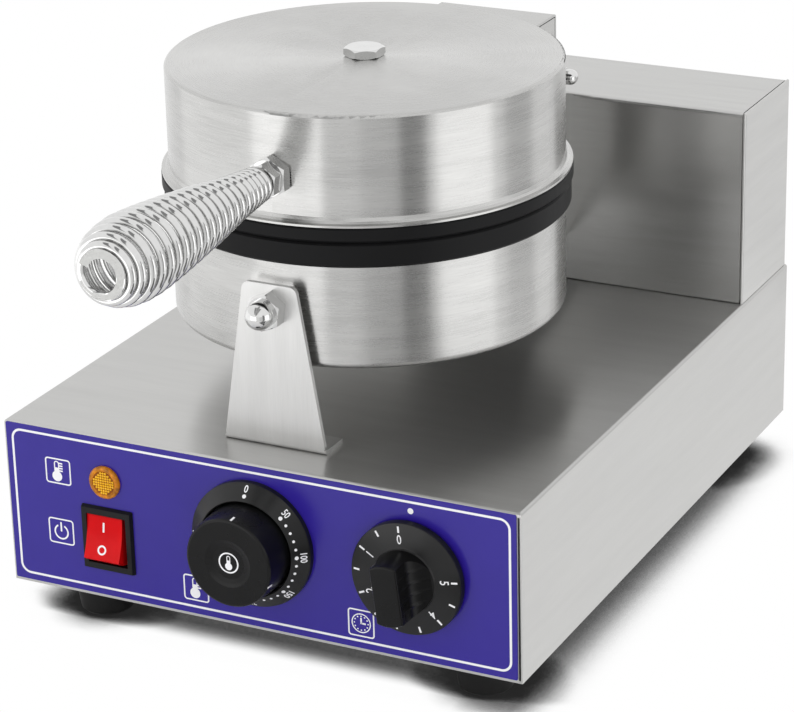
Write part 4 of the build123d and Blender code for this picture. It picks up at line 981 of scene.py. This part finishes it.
JAM_NUT_FLATS, COIL_NUT_FLATS, NUT_HOLE_R = 16.0, 14.0, 3.55
COIL_NUT_BASE = JAM_NUT_T + 0.05
nut_store = ([], [])
add(nut_store, *hex_nut(on_handle, JAM_NUT_FLATS, 0.2, JAM_NUT_T, NUT_HOLE_R, True, True))
coil_nut = (on_handle, COIL_NUT_FLATS, COIL_NUT_BASE, COIL_BACK, NUT_HOLE_R, True, True)
add(nut_store, *hex_nut(*coil_nut, turn=24.0))
nut = make_piece("handle_hex_nuts", *nut_store, chrome, "lid", "chrome", 20)
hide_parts("handle_nut")

# ------------------------------------------------------------------ domed nuts
cap_x, cap_z = middle("front_stud", 0), middle("front_stud", 2)
bracket_front = span("front_bracket", 1)[0]


def along_front(x, z, y_base):
    """Maps (u, v, height) to a place in front of y_base."""
    return lambda u, v, h: (x + u, y_base - h, z + v)


def cap_nut(name, place, flats, hex_h, dome_r, neck, body, turn=30.0):
    """Domed cap nut: a chamfered hexagon and a polished dome."""
    store = ([], [])
    add(store, *hex_nut(place, flats, 0.0, hex_h, dome_r * 0.55, False, True, turn=turn))
    sunk = hex_h - 0.4
    outline = [(0, sunk), (dome_r, sunk), (dome_r, hex_h), (dome_r, hex_h + neck)]
    for i in range(1, 15):
        a = math.radians(90 * i / 14)
        outline.append((dome_r * math.cos(a), hex_h + neck + dome_r * math.sin(a)))
    outline[-1] = (0, hex_h + neck + dome_r)
    add(store, *lathe(outline, 64, place))
    return make_piece(name, *store, chrome, body, "chrome", 24.0)


front_place = along_front(cap_x, cap_z, bracket_front)
cap = cap_nut("front_domed_nut", front_place, 14.6, 6.5, 6.2, 2.5, "base", 22.0)
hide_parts("front_cap_nut")

hinge_y, hinge_z = middle("hinge_pin", 1), middle("hinge_pin", 2)
ear_out = span("hinge_bracket", 0)[1]
for side, name in ((1, "right"), (-1, "left")):
    base = side * ear_out

    def beside(u, v, h, base=base, side=side):
        """Maps (u, v, height) to a place outside one ear of the hinge bracket."""
        return (base + side * h, hinge_y + u, hinge_z + v)

    made = cap_nut(f"hinge_domed_nut_{name}", beside, 8.0, 4.0, 3.7, 2.2, "base")
    if side == 1:
        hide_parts("hinge_cap_nuts")

# ------------------------------------------------------------------ lid bolt
BOLT_FLATS, BOLT_H, BOLT_HOLE_R = 16.0, 4.0, 0.6


def on_lid(u, v, h):
    """Maps (u, v, height) to a place about the middle of the lid's top."""
    return (u, drum_y + v, drum_top + h)


bolt_store = ([], [])
add(bolt_store, *hex_nut(on_lid, BOLT_FLATS, 0.05, BOLT_H, BOLT_HOLE_R, True, True))
plug = [(0, 3.0), (0.62, 3.0), (0.62, BOLT_H), (0, BOLT_H)]
add(bolt_store, *lathe(plug, 24, on_lid))
bolt = make_piece("lid_bolt_head", *bolt_store, chrome, "lid", "chrome", 20)
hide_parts("lid_center_bolt")

# ------------------------------------------------------------------ camera
# The place is in metres and the turns are in degrees.
CAMERA_PLACE = Vector((0.59755, -1.14735, 0.62834))
CAMERA_TURNS = (-26.96, 21.98, -1.45)
SENSOR_MM, LENS_MM = 36.0, 139.72
azimuth, elevation, roll = (math.radians(d) for d in CAMERA_TURNS)
forward = Vector(
    (
        math.sin(azimuth) * math.cos(elevation),
        math.cos(azimuth) * math.cos(elevation),
        -math.sin(elevation),
    )
)
level = Vector((math.cos(azimuth), -math.sin(azimuth), 0))
upward = level.cross(forward)
camera_right = level * math.cos(roll) + upward * math.sin(roll)
camera_up = upward * math.cos(roll) - level * math.sin(roll)
lens_data = bpy.data.cameras.new("camera")
lens_data.sensor_width = SENSOR_MM
lens_data.lens = LENS_MM
lens_data.clip_start = 0.05
lens_data.clip_end = 50.0
camera = bpy.data.objects.new("camera", lens_data)
bpy.context.scene.collection.objects.link(camera)
turned = Matrix((camera_right, camera_up, -forward)).transposed().to_4x4()
camera.matrix_world = Matrix.Translation(CAMERA_PLACE) @ turned
bpy.context.scene.camera = camera

# ------------------------------------------------------------------ studio
bpy.context.scene.view_settings.view_transform = "Standard"
world = bpy.data.worlds.new("studio")
bpy.context.scene.world = world
world.use_nodes = True
background = world.node_tree.nodes["Background"]
background.inputs["Color"].default_value = (1.0, 1.0, 1.0, 1)
background.inputs["Strength"].default_value = 1.12


def stage_sheet(name, points, material, glossy_only=False, faces=None):
    """A studio sheet from points in millimetres, as one face unless its faces are given."""
    data = bpy.data.meshes.new(name)
    faces = faces or [tuple(range(len(points)))]
    data.from_pydata([Vector(p) * MM for p in points], [], faces)
    data.materials.append(material)
    made = bpy.data.objects.new(name, data)
    bpy.context.scene.collection.objects.link(made)
    if glossy_only:
        made.visible_camera = False
        made.visible_diffuse = False
        made.visible_shadow = False
        made.visible_transmission = False
    return made


def bare_material(name):
    """A material with nothing but its output, and the output's surface socket."""
    made = bpy.data.materials.new(name)
    made.use_nodes = True
    tree = made.node_tree
    tree.nodes.clear()
    return made, tree, node(tree, "ShaderNodeOutputMaterial").inputs["Surface"]


# Two sheets make the floor: one that only lights the object, and one that only the camera sees.
FLOOR_EDGE = 6000
FLOOR_LIGHT_Z = -0.5
floor_corners = [
    (-FLOOR_EDGE, -FLOOR_EDGE),
    (FLOOR_EDGE, -FLOOR_EDGE),
    (FLOOR_EDGE, FLOOR_EDGE),
    (-FLOOR_EDGE, FLOOR_EDGE),
]
floor_light, _, floor_shader = new_material("floor_light")
floor_shader.inputs["Base Color"].default_value = (0.93, 0.93, 0.93, 1)
floor_shader.inputs["Roughness"].default_value = 1.0
floor_shader.inputs["Specular IOR Level"].default_value = 0.0
lit = stage_sheet("floor_light", [(x, y, FLOOR_LIGHT_Z) for x, y in floor_corners], floor_light)
lit.visible_camera = False

# The seen floor's shadow is not cast by the lights. It is ambient occlusion, whose reach in
# metres grows from the front edge backwards and towards the right, to match the photo.
REACH_FRONT, REACH_UNDER, REACH_RIGHT = 0.0204, 0.028, 0.027
UNDER_START, UNDER_END = -0.099, -0.083
RIGHT_START, RIGHT_END = 0.09, 0.15
SHADE_DARK, SHADE_CLEAR = 0.5, 0.93
SHADE_COLOUR = (0.02, 0.02, 0.02, 1)
floor_seen, tree, surface = bare_material("floor")
contact = node(tree, "ShaderNodeAmbientOcclusion", samples=16)
ground = node(tree, "ShaderNodeSeparateXYZ")
tree.links.new(node(tree, "ShaderNodeTexCoord").outputs["Object"], ground.inputs[0])
under = map_range(tree, ground.outputs["Y"], UNDER_START, UNDER_END, REACH_FRONT, REACH_UNDER)
right = map_range(tree, ground.outputs["X"], RIGHT_START, RIGHT_END, REACH_FRONT, REACH_RIGHT)
reach = node(tree, "ShaderNodeMath", operation="MAXIMUM")
tree.links.new(under, reach.inputs[0])
tree.links.new(right, reach.inputs[1])
tree.links.new(reach.outputs[0], contact.inputs["Distance"])
shadow = node(tree, "ShaderNodeValToRGB")
shadow.color_ramp.interpolation = "EASE"
dark_stop, clear_stop = shadow.color_ramp.elements
dark_stop.position, dark_stop.color = SHADE_DARK, SHADE_COLOUR
clear_stop.position, clear_stop.color = SHADE_CLEAR, (1.0, 1.0, 1.0, 1)
tree.links.new(contact.outputs["AO"], shadow.inputs["Fac"])
pale = node(tree, "ShaderNodeEmission")
tree.links.new(shadow.outputs["Color"], pale.inputs["Color"])
tree.links.new(pale.outputs[0], surface)
seen = stage_sheet("floor", [(x, y, 0.0) for x, y in floor_corners], floor_seen)
seen.visible_glossy = False
seen.visible_diffuse = False
seen.visible_shadow = False


def card_material(name, level):
    made, tree, surface = bare_material(name)
    glow = node(tree, "ShaderNodeEmission")
    glow.inputs["Color"].default_value = (1, 1, 1, 1)
    glow.inputs["Strength"].default_value = level
    tree.links.new(glow.outputs[0], surface)
    return made


CARD_RADIUS = 450


def round_card(name, start, end, z0, z1, level):
    """Upright curved card round the drum, seen only in reflections. Its angles run from the
    front to the right, and its level is its brightness: low ones are dark flags."""
    count = max(2, int((end - start) / 4))
    points, faces = [], []
    for i in range(count + 1):
        a = math.radians(start + (end - start) * i / count)
        x, y = CARD_RADIUS * math.sin(a), drum_y - CARD_RADIUS * math.cos(a)
        points += [(x, y, z0), (x, y, z1)]
    for i in range(count):
        faces.append((2 * i, 2 * i + 2, 2 * i + 3, 2 * i + 1))
    stage_sheet(name, points, card_material(name, level), True, faces)


round_card("fill_left", -92, -34, 1, 260, 1.36)
round_card("softbox_front_left", -34, 4, 40, 220, 2.2)
round_card("fill_front", 4, 24, 1, 230, 0.95)
round_card("fill_front_right", 24, 44, 1, 230, 0.78)
round_card("flag_front_right", 44, 58, 1, 300, 0.28)
round_card("softbox_right", 63, 96, 1, 260, 1.75)
round_card("flag_right", 105, 127, 1, 260, 0.62)


def flat_card(name, x0, x1, y0, y1, z, level):
    """Level card, seen only in reflections."""
    corners = [(x0, y0, z), (x1, y0, z), (x1, y1, z), (x0, y1, z)]
    stage_sheet(name, corners, card_material(name, level), True)


# A bright sheet on the floor right of the base, seen only in reflections: painted light, so the
# base's side mirrors the floor as lit where the base shades it.
flat_card("floor_painted_light_right", 128, 420, -260, 420, -0.2, 1.2)
# A dark sheet on the floor to the front right, seen only in reflections: painted shade on the floor
# as the dials and the label mirror it.
flat_card("floor_painted_shade_front_right", 110, 330, -330, -140, -0.1, 0.2)
flat_card("ceiling_flag_left", -240, -90, -1100, -150, 700, 0.3)
flat_card("ceiling_flag_right", 60, 200, -1100, -150, 700, 0.3)
# A dark sheet just under the drum's top, over the gap between the drum and the housing, seen only
# in reflections: painted shade in that gap.
flat_card("cavity_shade_card", -120, 84, 30, 109, drum_top - 1.5, 0.03)
# A bright sheet just behind the front bracket's plate, seen only in reflections: a painted
# reflection, so the drum shows light where it would mirror the bracket's dark back.
BRACKET_CARD_X, BRACKET_CARD_Z = (-17, 7), (118, 171)
card_y = bracket_front + 2.2
(left, right), (bottom, top) = BRACKET_CARD_X, BRACKET_CARD_Z
bracket_card = [(left, bottom), (right, bottom), (right, top), (left, top)]
stage_sheet(
    "bracket_painted_reflection",
    [(x, card_y, z) for x, z in bracket_card],
    card_material("bracket_painted_reflection", 1.5),
    True,
)
